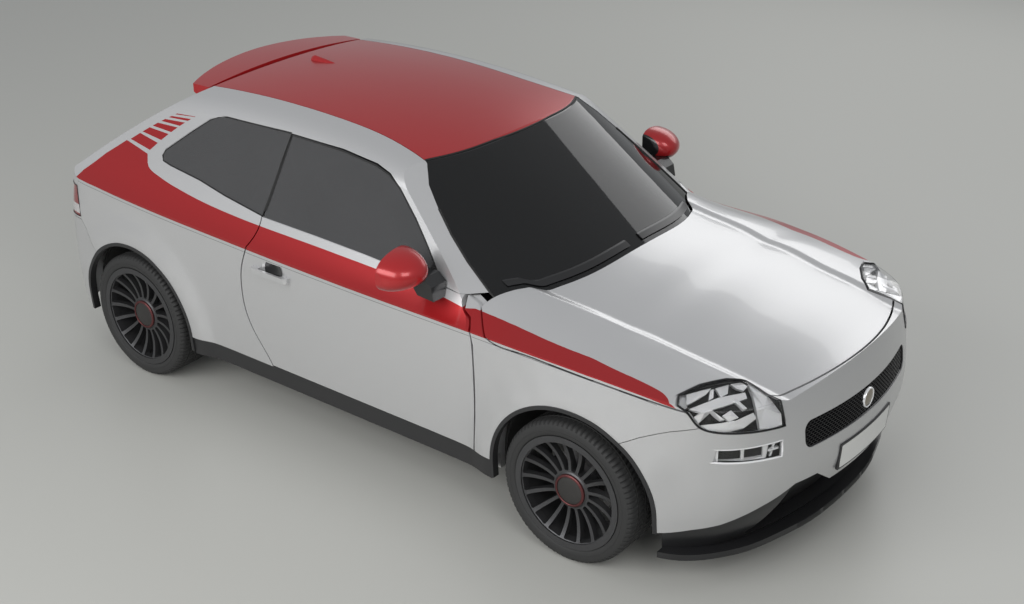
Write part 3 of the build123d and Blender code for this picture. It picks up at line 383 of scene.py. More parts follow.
MATERIALS = {
    "silver": silver_paint("silver_paint"),
    "gate_silver": silver_paint("tailgate_paint", inner=True),
    "red": red_paint(),
    "roof_red": red_paint("roof_paint", under=(0.16, 0.155, 0.15)),
    "striped": striped_paint(),
    "mirror_cap": mirror_paint(),
    "side_glass": glass("side_glass", (0.115, 0.115, 0.118), 0.45, fleck=0.15),
    "glass": glass("screen_glass", (0.035, 0.036, 0.038), 0.80, fleck=0.2),
    "lens": glass("clear_lens", (0.97, 0.97, 0.97), 1.0, 0.0, ior=1.25),
    "red_lens": tail_lens(),
    "chrome": chrome_with_painted_reflection(),
    "mirror_glass": metal("mirror_glass", (0.80, 0.82, 0.84), 0.04, 1.0, 30, 0.01),
    "gloss_black": plastic("gloss_black", (0.010, 0.010, 0.011), 0.16, 500.0, 0.02),
    "trim": plastic("black_trim", (0.020, 0.020, 0.021), 0.48),
    "splitter": plastic("satin_black", (0.016, 0.016, 0.017), 0.28, 700.0, 0.05),
    "rubber": plastic("tyre_rubber", (0.026, 0.026, 0.026), 0.70, 500.0, 0.3),
    "seal": plastic("window_rubber", (0.008, 0.008, 0.008), 0.55, 700.0, 0.1),
    "alloy": metal("dark_alloy", (0.085, 0.085, 0.088), 0.42, 0.75),
    "hub_red": metal("hub_ring", (0.13, 0.040, 0.040), 0.38, 0.7),
    "hub_grey": metal("hub_cap", (0.075, 0.072, 0.070), 0.38, 0.8),
    "disc": brake_iron(),
    "plate": plastic("plate_white", (0.72, 0.72, 0.70), 0.35, 300.0, 0.03, 0.04),
    "badge": metal("badge_face", (0.40, 0.36, 0.30), 0.30, 0.9),
    "under": plastic("underseal", (0.03, 0.03, 0.03), 0.8, 200.0, 0.5),
    "cast": metal("cast_metal", (0.22, 0.22, 0.21), 0.6),
    "cloth": seat_cloth(),
    "leather": plastic("leather", (0.020, 0.019, 0.019), 0.5, 1100.0, 0.4),
}

FINISH = {
    "silver": ["front_bumper", "rear_bumper"],
    "gate_silver": ["tailgate"],
    "striped": ["bonnet", "front_wings", "door_right", "door_left", "side_frame_right", "side_frame_left"],
    "red": ["roof_spoiler"],
    "roof_red": ["roof_panel"],
    "mirror_cap": ["mirror_right", "mirror_left"],
    "glass": ["windscreen", "rear_window"],
    "side_glass": ["quarter_glass", "door_glass_right", "door_glass_left"],
    "red_lens": ["tail_lamps"],
    "splitter": ["front_splitter", "wipers"],
    "trim": ["side_sills", "arch_trims", "dashboard", "fuel_tank"],
    "leather": ["steering_wheel"],
    "under": ["floor_pan", "front_subframe", "exhaust", "front_arms", "rear_axle"],
    "cast": ["engine_block", "knuckle_right", "knuckle_left"],
    "cloth": ["front_seats", "rear_seat"],
}


def paint_nodes():
    for name, node in NODES.items():
        finish = next((f for f, names in FINISH.items() if name in names), "trim")
        if name.startswith("wheel_"):
            finish = "alloy"
        if name.startswith("tyre_"):
            finish = "rubber"
        node.data.materials.clear()
        node.data.materials.append(MATERIALS[finish])


# ---------------- mesh helpers
def piece(name, verts, faces, finish, body, slot, sharp=35, replaces=None):
    mesh = bpy.data.meshes.new(name)
    mesh.from_pydata([tuple(v) for v in verts], [], faces)
    made = bmesh.new()
    made.from_mesh(mesh)
    bmesh.ops.remove_doubles(made, verts=made.verts, dist=1e-5)
    bmesh.ops.dissolve_degenerate(made, edges=made.edges, dist=1e-6)
    bmesh.ops.recalc_face_normals(made, faces=made.faces)
    made.to_mesh(mesh)
    made.free()
    mesh.materials.append(MATERIALS[finish])
    mesh.shade_smooth()
    mesh.set_sharp_from_angle(angle=math.radians(sharp))
    obj = bpy.data.objects.new(name, mesh)
    bpy.context.scene.collection.objects.link(obj)
    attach(obj, body)
    if replaces:
        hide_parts(replaces)
    return obj


def pair(name, verts, faces, finish, body, slot, **more):
    """The right-hand piece and its mirror image; {side} in the body's name is filled in"""
    for side, sign in SIDES.items():
        placed = [(v[0], -sign * v[1], v[2]) for v in verts]
        piece(f"{name}_{side}", placed, faces, finish, body.format(side=side), slot, **more)


def join(*parts):
    """Several (verts, faces) as one"""
    verts, faces = [], []
    for more_verts, more_faces in parts:
        start = len(verts)
        verts += list(more_verts)
        faces += [[start + i for i in face] for face in more_faces]
    return verts, faces


def ring_faces(rings, count, around=True, closed=False):
    """Quads between rings of count points; around closes each ring, closed joins the last to the first"""
    faces = []
    for i in range(rings if closed else rings - 1):
        a, b = i * count, ((i + 1) % rings) * count
        for j in range(count if around else count - 1):
            k = (j + 1) % count
            faces.append([a + j, a + k, b + k, b + j])
    return faces


def end_faces(rings, count):
    return [list(range(count)), list(range((rings - 1) * count, rings * count))]


def tube(points, radius, closed=False, sides=8, flat=1.0):
    """Round bar along points"""
    points = [Vector(p) for p in points]
    count = len(points)
    verts, up = [], Vector((0, 0, 1))
    for i, point in enumerate(points):
        before = points[i - 1] if closed or i else point
        after = points[(i + 1) % count] if closed or i < count - 1 else point
        ahead = (after - before).normalized()
        across = ahead.cross(up)
        if across.length < 0.05:
            across = ahead.cross(Vector((1, 0, 0)))
        across.normalize()
        high = across.cross(ahead)
        for j in range(sides):
            turn = 2 * math.pi * j / sides
            verts.append(point + across * radius * math.cos(turn) + high * radius * flat * math.sin(turn))
    faces = ring_faces(count, sides, closed=closed)
    return verts, faces if closed else faces + end_faces(count, sides)


def spun(profile, place, axis, segments=64, closed=False):
    """profile is (radius, height along axis) turned about axis; closed joins its two ends"""
    axis = Vector(axis).normalized()
    across = axis.orthogonal().normalized()
    other = axis.cross(across)
    verts = []
    for i in range(segments):
        turn = 2 * math.pi * i / segments
        outward = across * math.cos(turn) + other * math.sin(turn)
        verts += [Vector(place) + outward * r + axis * h for r, h in profile]
    return verts, ring_faces(segments, len(profile), around=closed, closed=True)


def faces_of(node, keep):
    """The welded faces of a node that keep(middle, normal) picks"""
    made = bmesh.new()
    made.from_mesh(NODES[node].data)
    bmesh.ops.remove_doubles(made, verts=made.verts, dist=2e-5)
    made.normal_update()
    drop = [f for f in made.faces if not keep(f.calc_center_median(), f.normal)]
    bmesh.ops.delete(made, geom=drop, context="FACES")
    made.normal_update()
    made.verts.index_update()
    return made


def loops_of(made, least=12):
    """Closed lines of points round the open edges"""
    ahead = {}
    for edge in made.edges:
        if len(edge.link_faces) == 1:
            a, b = edge.verts
            ahead.setdefault(a, []).append(b)
            ahead.setdefault(b, []).append(a)
    loops, seen = [], set()
    for start in ahead:
        if start in seen:
            continue
        line, here = [start], start
        seen.add(start)
        while True:
            step = next((v for v in ahead[here] if v not in seen), None)
            if step is None:
                break
            seen.add(step)
            line.append(step)
            here = step
        if len(line) >= least:
            loops.append([v.co.copy() for v in line])
    return loops


def shell(made, near, deep, inward=None):
    """Thin solid between two depths under the faces"""
    ways = [inward or -v.normal for v in made.verts]
    verts = [v.co + way * near for v, way in zip(made.verts, ways)]
    verts += [v.co + way * deep for v, way in zip(made.verts, ways)]
    count = len(made.verts)
    faces = [[v.index for v in f.verts] for f in made.faces]
    faces += [[v.index + count for v in reversed(f.verts)] for f in made.faces]
    for edge in made.edges:
        if len(edge.link_faces) == 1:
            a, b = (v.index for v in edge.verts)
            faces.append([a, b, b + count, a + count])
    return verts, faces


def thinned(line, least):
    """A closed line with points nearer than least left out"""
    kept = [line[0]]
    for point in line[1:]:
        if (point - kept[-1]).length > least:
            kept.append(point)
    if (kept[0] - kept[-1]).length < least:
        kept.pop()
    return kept


def edge_strip(made, radius, least=0.004, flat=1.0):
    return join(*[tube(thinned(line, least), radius, closed=True, flat=flat) for line in loops_of(made)])


def open_strip(made, radius, keep, least=0.004):
    """Strip along the part of the edge that keep(point) picks"""
    strips = []
    for line in loops_of(made):
        line = thinned(line, least)
        start = next((i for i in range(len(line)) if keep(line[i]) and not keep(line[i - 1])), 0)
        line = [p for p in line[start:] + line[:start] if keep(p)]
        if len(line) > 3:
            strips.append(tube(line, radius))
    return join(*strips)


def tree_of(node):
    made = faces_of(node, lambda middle, normal: True)
    return BVHTree.FromBMesh(made)


class Panel:
    """Outward face of the right-hand half of a node, addressed by u along it and v up it, both 0 to 1"""

    def __init__(self, node, toward, steep):
        toward = Vector(toward).normalized()
        self.mesh = faces_of(node, lambda middle, normal: normal.dot(toward) > steep and middle.y < 0)
        self.out = sum((f.normal * f.calc_area() for f in self.mesh.faces), Vector()).normalized()
        self.along = Vector((0, 0, 1)).cross(self.out).normalized()
        self.up = self.out.cross(self.along)
        spots = [v.co for v in self.mesh.verts]
        self.corner, self.span = [], []
        for axis in (self.along, self.up):
            reach = [p.dot(axis) for p in spots]
            self.corner.append(min(reach))
            self.span.append(max(reach) - min(reach))
        self.top = max(p.dot(self.out) for p in spots)
        self.tree = BVHTree.FromBMesh(self.mesh)

    def place(self, u, v, deep=0.0):
        start = self.along * (self.corner[0] + self.span[0] * u)
        start += self.up * (self.corner[1] + self.span[1] * v)
        start += self.out * (self.top + 0.05)
        hit = self.tree.ray_cast(start, -self.out)[0]
        if hit is None:
            hit = self.tree.find_nearest(start - self.out * 0.12)[0]
        return hit - self.out * deep

    def facet(self, corners, deep, rise, middle=None, floor=0.028):
        """Shard with corners at one depth and its middle higher, standing on a deeper floor"""
        count = len(corners)
        middle = middle or (sum(c[0] for c in corners) / count, sum(c[1] for c in corners) / count)
        verts = [self.place(u, v, deep) for u, v in corners]
        verts += [self.place(u, v, floor) for u, v in corners]
        verts.append(self.place(*middle, deep - rise))
        faces = [[i, (i + 1) % count, 2 * count] for i in range(count)]
        faces += [[i, (i + 1) % count, (i + 1) % count + count, i + count] for i in range(count)]
        faces.append([i + count for i in range(count)])
        return verts, faces


# ---------------- wheels
RIM_SEAT = 0.224
LUGS, STEPS = 84, 4                          # tread blocks round the tyre, and rings of points to each
SIDE_CUT, SHOULDER_CUT, TREAD_CUT = 0.0012, 0.0055, 0.0045
CALIPER_FROM, CALIPER_SWEEP, CALIPER_R = 160, 48, 0.125


def tyre_profile():
    """(radius, distance outwards, kind) across the tyre; kind says how the tread pattern cuts it"""
    side = [
        (RIM_SEAT, 0.0975, 0), (0.2425, 0.0975, 0), (0.2435, 0.1000, 0), (0.2465, 0.1030, 0),
        (0.2500, 0.1050, 0), (0.2590, 0.1066, 0), (0.2640, 0.1070, 0), (0.2645, 0.1062, 0),
        (0.2665, 0.1062, 0), (0.2670, 0.1070, 0), (0.2760, 0.1066, 0), (0.2840, 0.1048, 0),
        (0.2890, 0.1030, 1), (0.2950, 0.0988, 2), (0.2990, 0.0945, 2), (0.3018, 0.0880, 2),
        (0.3034, 0.0800, 2), (0.3038, 0.0620, 2), (0.3038, 0.0560, 0), (0.2975, 0.0545, 0),
        (0.2975, 0.0500, 0), (0.3040, 0.0485, 0), (0.3040, 0.0350, 3), (0.3040, 0.0160, 3),
        (0.3040, 0.0110, 0), (0.2975, 0.0095, 0), (0.2975, 0.0045, 0), (0.3040, 0.0030, 0),
    ]
    return side + [(r, -y, kind) for r, y, kind in reversed(side)]


def tyres():
    profile = tyre_profile()
    count, segments = len(profile), LUGS * STEPS
    for name in [n for n in NODES if n.startswith("tyre_")]:
        axle = Vector(JOINTS[f"wheel_{name[5:]}_spin"]["pos_m"])
        verts = []
        for i in range(segments):
            turn = 2 * math.pi * i / segments
            notch = i % STEPS == 0
            for r, y, kind in profile:
                skew = 2 * math.pi / segments * (1.2 if y > 0 else -1.2) if kind == 3 else 0
                cut = (0, SIDE_CUT, SHOULDER_CUT, TREAD_CUT)[kind] if notch else 0
                lean = 0.0025 if notch and kind == 2 and abs(y) > 0.085 else 0
                reach, outward = r - cut, y - math.copysign(lean, y)
                round_x, round_z = math.sin(turn + skew), math.cos(turn + skew)
                verts.append(axle + Vector((reach * round_x, outward, reach * round_z)))
        faces = ring_faces(segments, count, closed=True)
        piece(f"tread_{name}", verts, faces, "rubber", name.replace("tyre", "wheel"), "rubber", 30, name)


def wheel_details():
    """Hub cap, its ring, brake disc and caliper, each turned about the axle as (radius, distance outwards)"""
    cap = [
        (0.0001, 0.0815), (0.020, 0.0812), (0.040, 0.0800), (0.054, 0.0782), (0.0575, 0.0770),
        (0.0580, 0.0700),
    ]
    ring = [
        (0.0580, 0.0690), (0.0585, 0.0790), (0.0610, 0.0805), (0.0660, 0.0795), (0.0685, 0.0770),
        (0.0690, 0.0690),
    ]
    disc = [
        (0.072, -0.026), (0.072, -0.052), (0.084, -0.054), (0.088, -0.036), (0.140, -0.036), (0.1415, -0.035),
        (0.1415, -0.0265), (0.140, -0.026), (0.090, -0.026),
    ]
    for end in ("front", "rear"):
        for side, sign in SIDES.items():
            axle = Vector(JOINTS[f"wheel_{end}_{side}_spin"]["pos_m"])
            axis, body = (0, sign, 0), f"wheel_{end}_{side}"
            turned = spun(cap, axle, axis), spun(ring, axle, axis, closed=True), spun(disc, axle, axis, 96, True)
            piece(f"hub_cap_{end}_{side}", *turned[0], "hub_grey", body, "dark_alloy")
            piece(f"hub_ring_{end}_{side}", *turned[1], "hub_red", body, "red_paint")
            piece(f"brake_disc_{end}_{side}", *turned[2], "disc", body, "cast")
            caliper(end, side, sign, axle)


def caliper(end, side, sign, axle):
    """Arched block over the disc's rear edge"""
    outline = [
        (0.104, 0.014), (0.150, 0.014), (0.158, 0.022), (0.160, 0.034), (0.160, 0.052), (0.150, 0.062),
        (0.104, 0.062), (0.104, 0.046), (0.146, 0.046), (0.147, 0.019), (0.104, 0.022),
    ]
    verts, steps, count = [], 14, len(outline)
    for i in range(steps + 1):
        share = i / steps
        turn = math.radians(CALIPER_FROM + CALIPER_SWEEP * share)
        tuck = 1 - 0.06 * (abs(2 * share - 1) ** 6)
        for r, h in outline:
            reach = CALIPER_R + (r - CALIPER_R) * tuck
            verts.append(axle + Vector((reach * math.cos(turn), -sign * h, reach * math.sin(turn))))
    faces = ring_faces(steps + 1, count) + end_faces(steps + 1, count)
    body = f"steer_{side}" if end == "front" else "root"
    piece(f"brake_caliper_{end}_{side}", verts, faces, "hub_grey", body, "cast")


# ---------------- lamps
def lamp_tray(panel, name, deep, slot, shrink=0.90):
    """Black bowl behind a lens: a floor, and walls up to the lens's edge"""
    middle = sum((v.co for v in panel.mesh.verts), Vector()) / len(panel.mesh.verts)
    verts, faces = shell(panel.mesh, 0.0025, deep, -panel.out)
    count = len(panel.mesh.verts)
    lid = len(panel.mesh.faces)
    drawn = middle - panel.out * deep
    for i in range(count, 2 * count):
        verts[i] = drawn + (verts[i] - drawn) * shrink
    # the floor gets its own underside, so the bowl is closed
    under = [v - panel.out * 0.002 for v in verts[count:]]
    outer = [v + (v - middle).normalized() * 0.0015 for v in verts[:count]]
    floor, walls = faces[lid:2 * lid], faces[2 * lid:]
    shift = 2 * count
    skin = [[(i - count) + shift for i in f] for f in floor]
    skin += [[(i - count) + shift if i >= count else i + shift + count for i in f] for f in walls]
    lip = [[a, b, b + shift + count, a + shift + count] for a, b in (f[:2] for f in walls)]
    pair(name, verts + under + outer, floor + walls + skin + lip, "seal", "root", slot)


# Shards of the lamps, as (share along, share up) of the lens
LAMP_SHARDS = [
    [(0.09, 0.58), (0.13, 0.80), (0.38, 0.86), (0.31, 0.75), (0.18, 0.64)],
    [(0.10, 0.50), (0.41, 0.65), (0.68, 0.70), (0.67, 0.57), (0.42, 0.46), (0.20, 0.40)],
    [(0.14, 0.38), (0.27, 0.50), (0.31, 0.42), (0.18, 0.28)],
    [
        (0.19, 0.24), (0.35, 0.20), (0.52, 0.20), (0.67, 0.28), (0.70, 0.20), (0.58, 0.09), (0.41, 0.06),
        (0.26, 0.14),
    ],
    [(0.42, 0.85), (0.56, 0.90), (0.51, 0.71), (0.43, 0.65)],
    [(0.38, 0.30), (0.47, 0.37), (0.53, 0.24), (0.44, 0.20)],
    [(0.58, 0.90), (0.69, 0.91), (0.73, 0.82), (0.67, 0.73), (0.61, 0.80)],
    [(0.31, 0.62), (0.36, 0.66), (0.40, 0.84), (0.36, 0.82)],
    [(0.22, 0.52), (0.25, 0.49), (0.40, 0.24), (0.36, 0.24)],
    [(0.52, 0.60), (0.56, 0.60), (0.62, 0.36), (0.58, 0.34)],
]
LAMP_CORNER = [
    (0.74, 0.86), (0.80, 0.76), (0.89, 0.54), (0.96, 0.25), (0.97, 0.10), (0.85, 0.04), (0.73, 0.05),
    (0.70, 0.30), (0.73, 0.60),
]
SIDE_SHARDS = [
    [(0.06, 0.10), (0.06, 0.90), (0.14, 0.90), (0.14, 0.10)],
    [(0.14, 0.80), (0.14, 0.92), (0.75, 0.92), (0.75, 0.80)],
    [(0.14, 0.08), (0.14, 0.20), (0.75, 0.22), (0.75, 0.08)],
    [(0.43, 0.22), (0.43, 0.80), (0.47, 0.80), (0.47, 0.22)],
    [(0.72, 0.10), (0.72, 0.90), (0.80, 0.90), (0.77, 0.10)],
    [(0.82, 0.10), (0.87, 0.90), (0.91, 0.90), (0.85, 0.10)],
    [(0.80, 0.44), (0.80, 0.56), (0.95, 0.60), (0.95, 0.46)],
]


def front_lamps():
    lamp = Panel("headlights", (0.6, -0.45, 0.66), 0.35)
    lamp_tray(lamp, "headlamp_bowl", 0.030, "black_trim")
    shards = [lamp.facet(corners, 0.011 + 0.003 * (i % 3), 0.004) for i, corners in enumerate(LAMP_SHARDS)]
    corner = lamp.facet(LAMP_CORNER, 0.006, -0.012, middle=(0.79, 0.34))
    pair("headlamp_reflector", *join(*shards), "chrome", "root", "lamp", sharp=12)
    pair("headlamp_corner", *corner, "chrome", "root", "lamp", sharp=8)
    lens = shell(lamp.mesh, 0.0004, 0.0022)
    pair("headlamp_lens", *lens, "lens", "root", "lamp", sharp=30, replaces="headlights")
    pair("headlamp_rim", *edge_strip(lamp.mesh, 0.0042), "gloss_black", "root", "black_trim")

    low = Panel("running_lamps", (0.85, -0.5, 0.1), 0.5)
    lamp_tray(low, "running_lamp_bowl", 0.020, "black_trim", 0.97)
    shards = []
    for i, corners in enumerate(SIDE_SHARDS):
        shards.append(low.facet(corners, 0.007 + 0.003 * (i % 2), 0.002, floor=0.019))
    pair("running_lamp_reflector", *join(*shards), "chrome", "root", "lamp", sharp=12)
    lens = shell(low.mesh, 0.0004, 0.0020)
    pair("running_lamp_lens", *lens, "lens", "root", "lamp", sharp=30, replaces="running_lamps")
    pair("running_lamp_frame", *edge_strip(low.mesh, 0.0045, 0.009), "chrome", "root", "lamp")


# ---------------- nose
def grille():
    """Flattened honeycomb across the opening, a dark back plate and a bare round badge"""
    face = faces_of("grille", lambda middle, normal: normal.x > 0.5)
    tree = BVHTree.FromBMesh(face)
    low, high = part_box("grille")
    mid_z, half_w, half_h = (low.z + high.z) / 2, high.y - 0.001, (high.z - low.z) / 2 - 0.001
    corner = 0.039
    cell_w, cell_h = 0.0215, 0.0125

    def held(y, z):
        """Point of the plan moved inside the opening's rounded outline"""
        across, up = y, z - mid_z
        core_y, core_z = half_w - corner, half_h - corner
        near = Vector((max(-core_y, min(core_y, across)), max(-core_z, min(core_z, up))))
        away = Vector((across, up)) - near
        if away.length > corner:
            away = away.normalized() * corner
        return near.x + away.x, near.y + away.y + mid_z

    def spot(y, z, deep):
        y, z = held(y, z)
        hit = tree.ray_cast(Vector((high.x + 0.1, y, z)), Vector((-1, 0, 0)))[0]
        if hit is None:
            hit = tree.find_nearest(Vector((high.x, y, z)))[0]
        return Vector((hit.x - deep, y, z))

    verts, faces = [], []
    rows, columns = int(half_h * 2 / (cell_h * 0.75)) + 3, int(half_w * 2 / cell_w) + 3
    for row in range(-rows // 2, rows // 2 + 1):
        for column in range(-columns // 2, columns // 2 + 1):
            y = (column + 0.5 * (row % 2)) * cell_w
            z = mid_z + row * cell_h * 0.75
            if abs(y) > half_w + cell_w / 3 or abs(z - mid_z) > half_h + cell_h / 3:
                continue
            start = len(verts)
            for shrink, deep in ((1.0, 0.0), (1.0, 0.010), (0.86, 0.010), (0.86, 0.0)):
                for k in range(6):
                    turn = math.radians(60 * k + 30)
                    reach_y = cell_w / math.sqrt(3) - (1 - shrink) * 0.010
                    reach_z = cell_h / 2 - (1 - shrink) * 0.008
                    verts.append(spot(y + reach_y * math.cos(turn), z + reach_z * math.sin(turn), deep))
            for ring in (2, 3):
                for k in range(6):
                    a, b = start + ring * 6, start + ((ring + 1) % 4) * 6
                    faces.append([a + k, a + (k + 1) % 6, b + (k + 1) % 6, b + k])
    piece("grille_mesh", verts, faces, "gloss_black", "root", "black_trim", 30, "grille")
    piece("grille_back", *shell(face, 0.0125, 0.0145), "seal", "root", "black_trim")
    piece("grille_edge", *edge_strip(face, 0.0030), "gloss_black", "root", "black_trim")

    badge = spot(0, mid_z, 0)
    ring = [
        (0.0350, -0.004), (0.0352, 0.0035), (0.0370, 0.0055), (0.0405, 0.0050), (0.0425, 0.0020),
        (0.0425, -0.004),
    ]
    domed = [
        (0.0001, 0.0055), (0.012, 0.0052), (0.024, 0.0042), (0.033, 0.0028), (0.0355, 0.0020),
        (0.0355, -0.003),
    ]
    piece("badge_ring", *spun(ring, badge, (1, 0, 0), closed=True), "chrome", "root", "lamp")
    piece("badge_face", *spun(domed, badge, (1, 0, 0)), "badge", "root", "dark_alloy")


def bent_plate(
    name, half, low_z, high_z, surface, lift, thick, finish, slot,
    body="root", toward=1, corner=0.006, middle=0.0,
):
    """Thin rounded plate that follows the body across the car; toward is 1 on the nose and -1 on the tail"""
    outline = []
    for cy, cz, start in ((half, high_z, 0), (-half, high_z, 90), (-half, low_z, 180), (half, low_z, 270)):
        cy -= math.copysign(corner, cy)
        cz -= math.copysign(corner, cz - (low_z + high_z) / 2)
        for turn in (math.radians(start + a) for a in (0, 30, 60, 90)):
            outline.append((middle + cy + corner * math.cos(turn), cz + corner * math.sin(turn)))
    made = bmesh.new()
    made.faces.new([made.verts.new((0, y, z)) for y, z in outline])
    for i in range(-11, 12):
        bmesh.ops.bisect_plane(
            made, geom=made.verts[:] + made.edges[:] + made.faces[:], plane_co=(0, middle + half * i / 12, 0),
            plane_no=(0, 1, 0), dist=1e-6,
        )
    made.verts.index_update()
    front = [Vector((surface(v.co.y, v.co.z) + toward * (lift + thick), v.co.y, v.co.z)) for v in made.verts]
    back = [p - Vector((toward * thick, 0, 0)) for p in front]
    count = len(front)
    faces = [[v.index for v in f.verts] for f in made.faces]
    faces += [[v.index + count for v in reversed(f.verts)] for f in made.faces]
    rim = [[v.index for v in e.verts] for e in made.edges if len(e.link_faces) == 1]
    faces += [[a, b, b + count, a + count] for a, b in rim]
    return piece(name, front + back, faces, finish, body, slot, 40)


def plates():
    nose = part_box("front_bumper")[1].x
    centre_x = nose - 0.003

    def front(y, z):
        return centre_x - 0.30 * y * y + 0.06 * (z - 0.45)

    bent_plate("plate_holder_front", 0.212, 0.392, 0.508, front, -0.004, 0.008, "trim", "black_trim")
    bent_plate("plate_front", 0.200, 0.400, 0.500, front, 0.0042, 0.0016, "plate", "lamp")

    splitter, lip = tree_of("front_splitter"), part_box("front_splitter")[0].z

    def shelf(y, z):
        return splitter.ray_cast(Vector((3, y, z)), Vector((-1, 0, 0)))[0].x

    for number, y in enumerate((-0.252, -0.084, 0.084, 0.252)):
        foot, top = lip + 0.004, lip + 0.023
        bent_plate(
            f"splitter_slot_{number + 1}", 0.074, foot, top, shelf, -0.002, 0.0035, "trim", "black_trim",
            middle=y,
        )
        bent_plate(
            f"splitter_mesh_{number + 1}", 0.070, foot + 0.004, top - 0.004, shelf, 0.0016, 0.0006, "seal",
            "black_trim", middle=y, corner=0.005,
        )

    tree = tree_of("tailgate")

    def rear(y, z):
        hit = tree.ray_cast(Vector((-2.5, 0.0, z)), Vector((1, 0, 0)))[0]
        return (hit.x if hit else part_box("tailgate")[0].x) + 0.05 * y * y

    on_gate = {"body": "tailgate", "toward": -1}
    bent_plate("plate_holder_rear", 0.268, 0.730, 0.858, rear, -0.004, 0.009, "trim", "black_trim", **on_gate)
    bent_plate("plate_rear", 0.258, 0.739, 0.849, rear, 0.0052, 0.0016, "plate", "lamp", **on_gate)
    bent_plate(
        "tailgate_handle", 0.240, 0.872, 0.894, rear, -0.004, 0.016, "chrome", "lamp", corner=0.009, **on_gate,
    )


# ---------------- glass edges, mirrors, roof
def seals():
    """Black rubber round each pane"""
    def outward(middle, normal):
        return normal.y * math.copysign(1, middle.y) > 0.5

    def above_belt(point):
        return point.z > 0.998 - 0.07 * max(0, point.x - MID_X + 0.1)

    for side in SIDES:
        pane = faces_of(f"door_glass_{side}", outward)
        strip = open_strip(pane, 0.0040, above_belt)
        piece(f"door_seal_{side}", *strip, "seal", f"door_{side}", "rubber")
    piece("quarter_seal", *edge_strip(faces_of("quarter_glass", outward), 0.0040), "seal", "root", "rubber")
    screen = faces_of("windscreen", lambda middle, normal: normal.x * 0.53 + normal.z * 0.85 > 0.4)
    piece("windscreen_seal", *edge_strip(screen, 0.0050), "seal", "root", "rubber")
    rear = faces_of("rear_window", lambda middle, normal: normal.z * 0.5 - normal.x * 0.85 > 0.4)
    piece("rear_window_seal", *edge_strip(rear, 0.0050), "seal", "tailgate", "rubber")

    def rearward(middle, normal):
        return normal.y * math.copysign(1, middle.y) - normal.x > 0.7

    lamps = faces_of("tail_lamps", rearward)
    piece("tail_lamp_seal", *edge_strip(lamps, 0.0028), "seal", "root", "rubber")


def mirror_glass():
    for side in SIDES:
        node = f"mirror_{side}"
        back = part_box(node)[0].x
        pane = faces_of(node, lambda middle, normal: normal.x < -0.95 and middle.x < back + 0.002)
        middle = sum((v.co for v in pane.verts), Vector()) / max(1, len(pane.verts))
        verts, faces = shell(pane, -0.0008, 0.0, Vector((1, 0, 0)))
        for v in verts:
            v.y = middle.y + (v.y - middle.y) * 0.93
            v.z = middle.z + (v.z - middle.z) * 0.91
        piece(f"mirror_glass_{side}", verts, faces, "mirror_glass", f"door_{side}", "lamp")


def roof_fin():
    """Low aerial fin, fuller at its foot and drawn out towards the front"""
    low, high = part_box("roof_antenna")
    tree = tree_of("roof_panel")
    length, tall = high.x - low.x, high.z - low.z - 0.001
    verts, steps, sides = [], 18, 12
    for i in range(steps + 1):
        share = i / steps
        x = low.x + length * share
        foot = tree.ray_cast(Vector((x, 0.05, 2)), Vector((0, 0, -1)))[0]
        height = tall * (1 - share) ** 0.8 * min(1, 0.72 + 3.5 * share) + 0.0006
        wide = 0.019 * math.sin(math.pi * min(1, 0.22 + share * 0.78)) ** 0.6 + 0.0008
        for j in range(sides):
            turn = math.pi * j / (sides - 1)
            narrow = 1 - 0.45 * math.sin(turn)
            top = foot.z - 0.003 + (height + 0.003) * math.sin(turn) ** 0.7
            verts.append(Vector((x, wide * narrow * math.cos(turn), top)))
    faces = ring_faces(steps + 1, sides) + end_faces(steps + 1, sides)
    piece("roof_fin", verts, faces, "red", "root", "red_paint", 50, "roof_antenna")


# ---------------- rear
def rear_wiper():
    tree = tree_of("rear_window")
    height, away = 1.055, Vector((-0.85, 0, 0.5))

    def on_glass(y, lift):
        return tree.ray_cast(Vector((-2.5, y, height)), Vector((1, 0, 0)))[0] + away * lift

    arm = [on_glass(y, lift) for y, lift in ((0.0, 0.012), (0.05, 0.020), (0.16, 0.016))]
    blade = [on_glass(y, 0.006) for y in (-0.02, 0.05, 0.12, 0.20, 0.28, 0.34)]
    boss = spun([(0.0001, 0.024), (0.010, 0.022), (0.014, 0.016), (0.015, 0.0)], on_glass(0, 0), away, 24)
    piece("rear_wiper", *join(tube(arm, 0.005), tube(blade, 0.0045), boss), "trim", "tailgate", "black_trim")


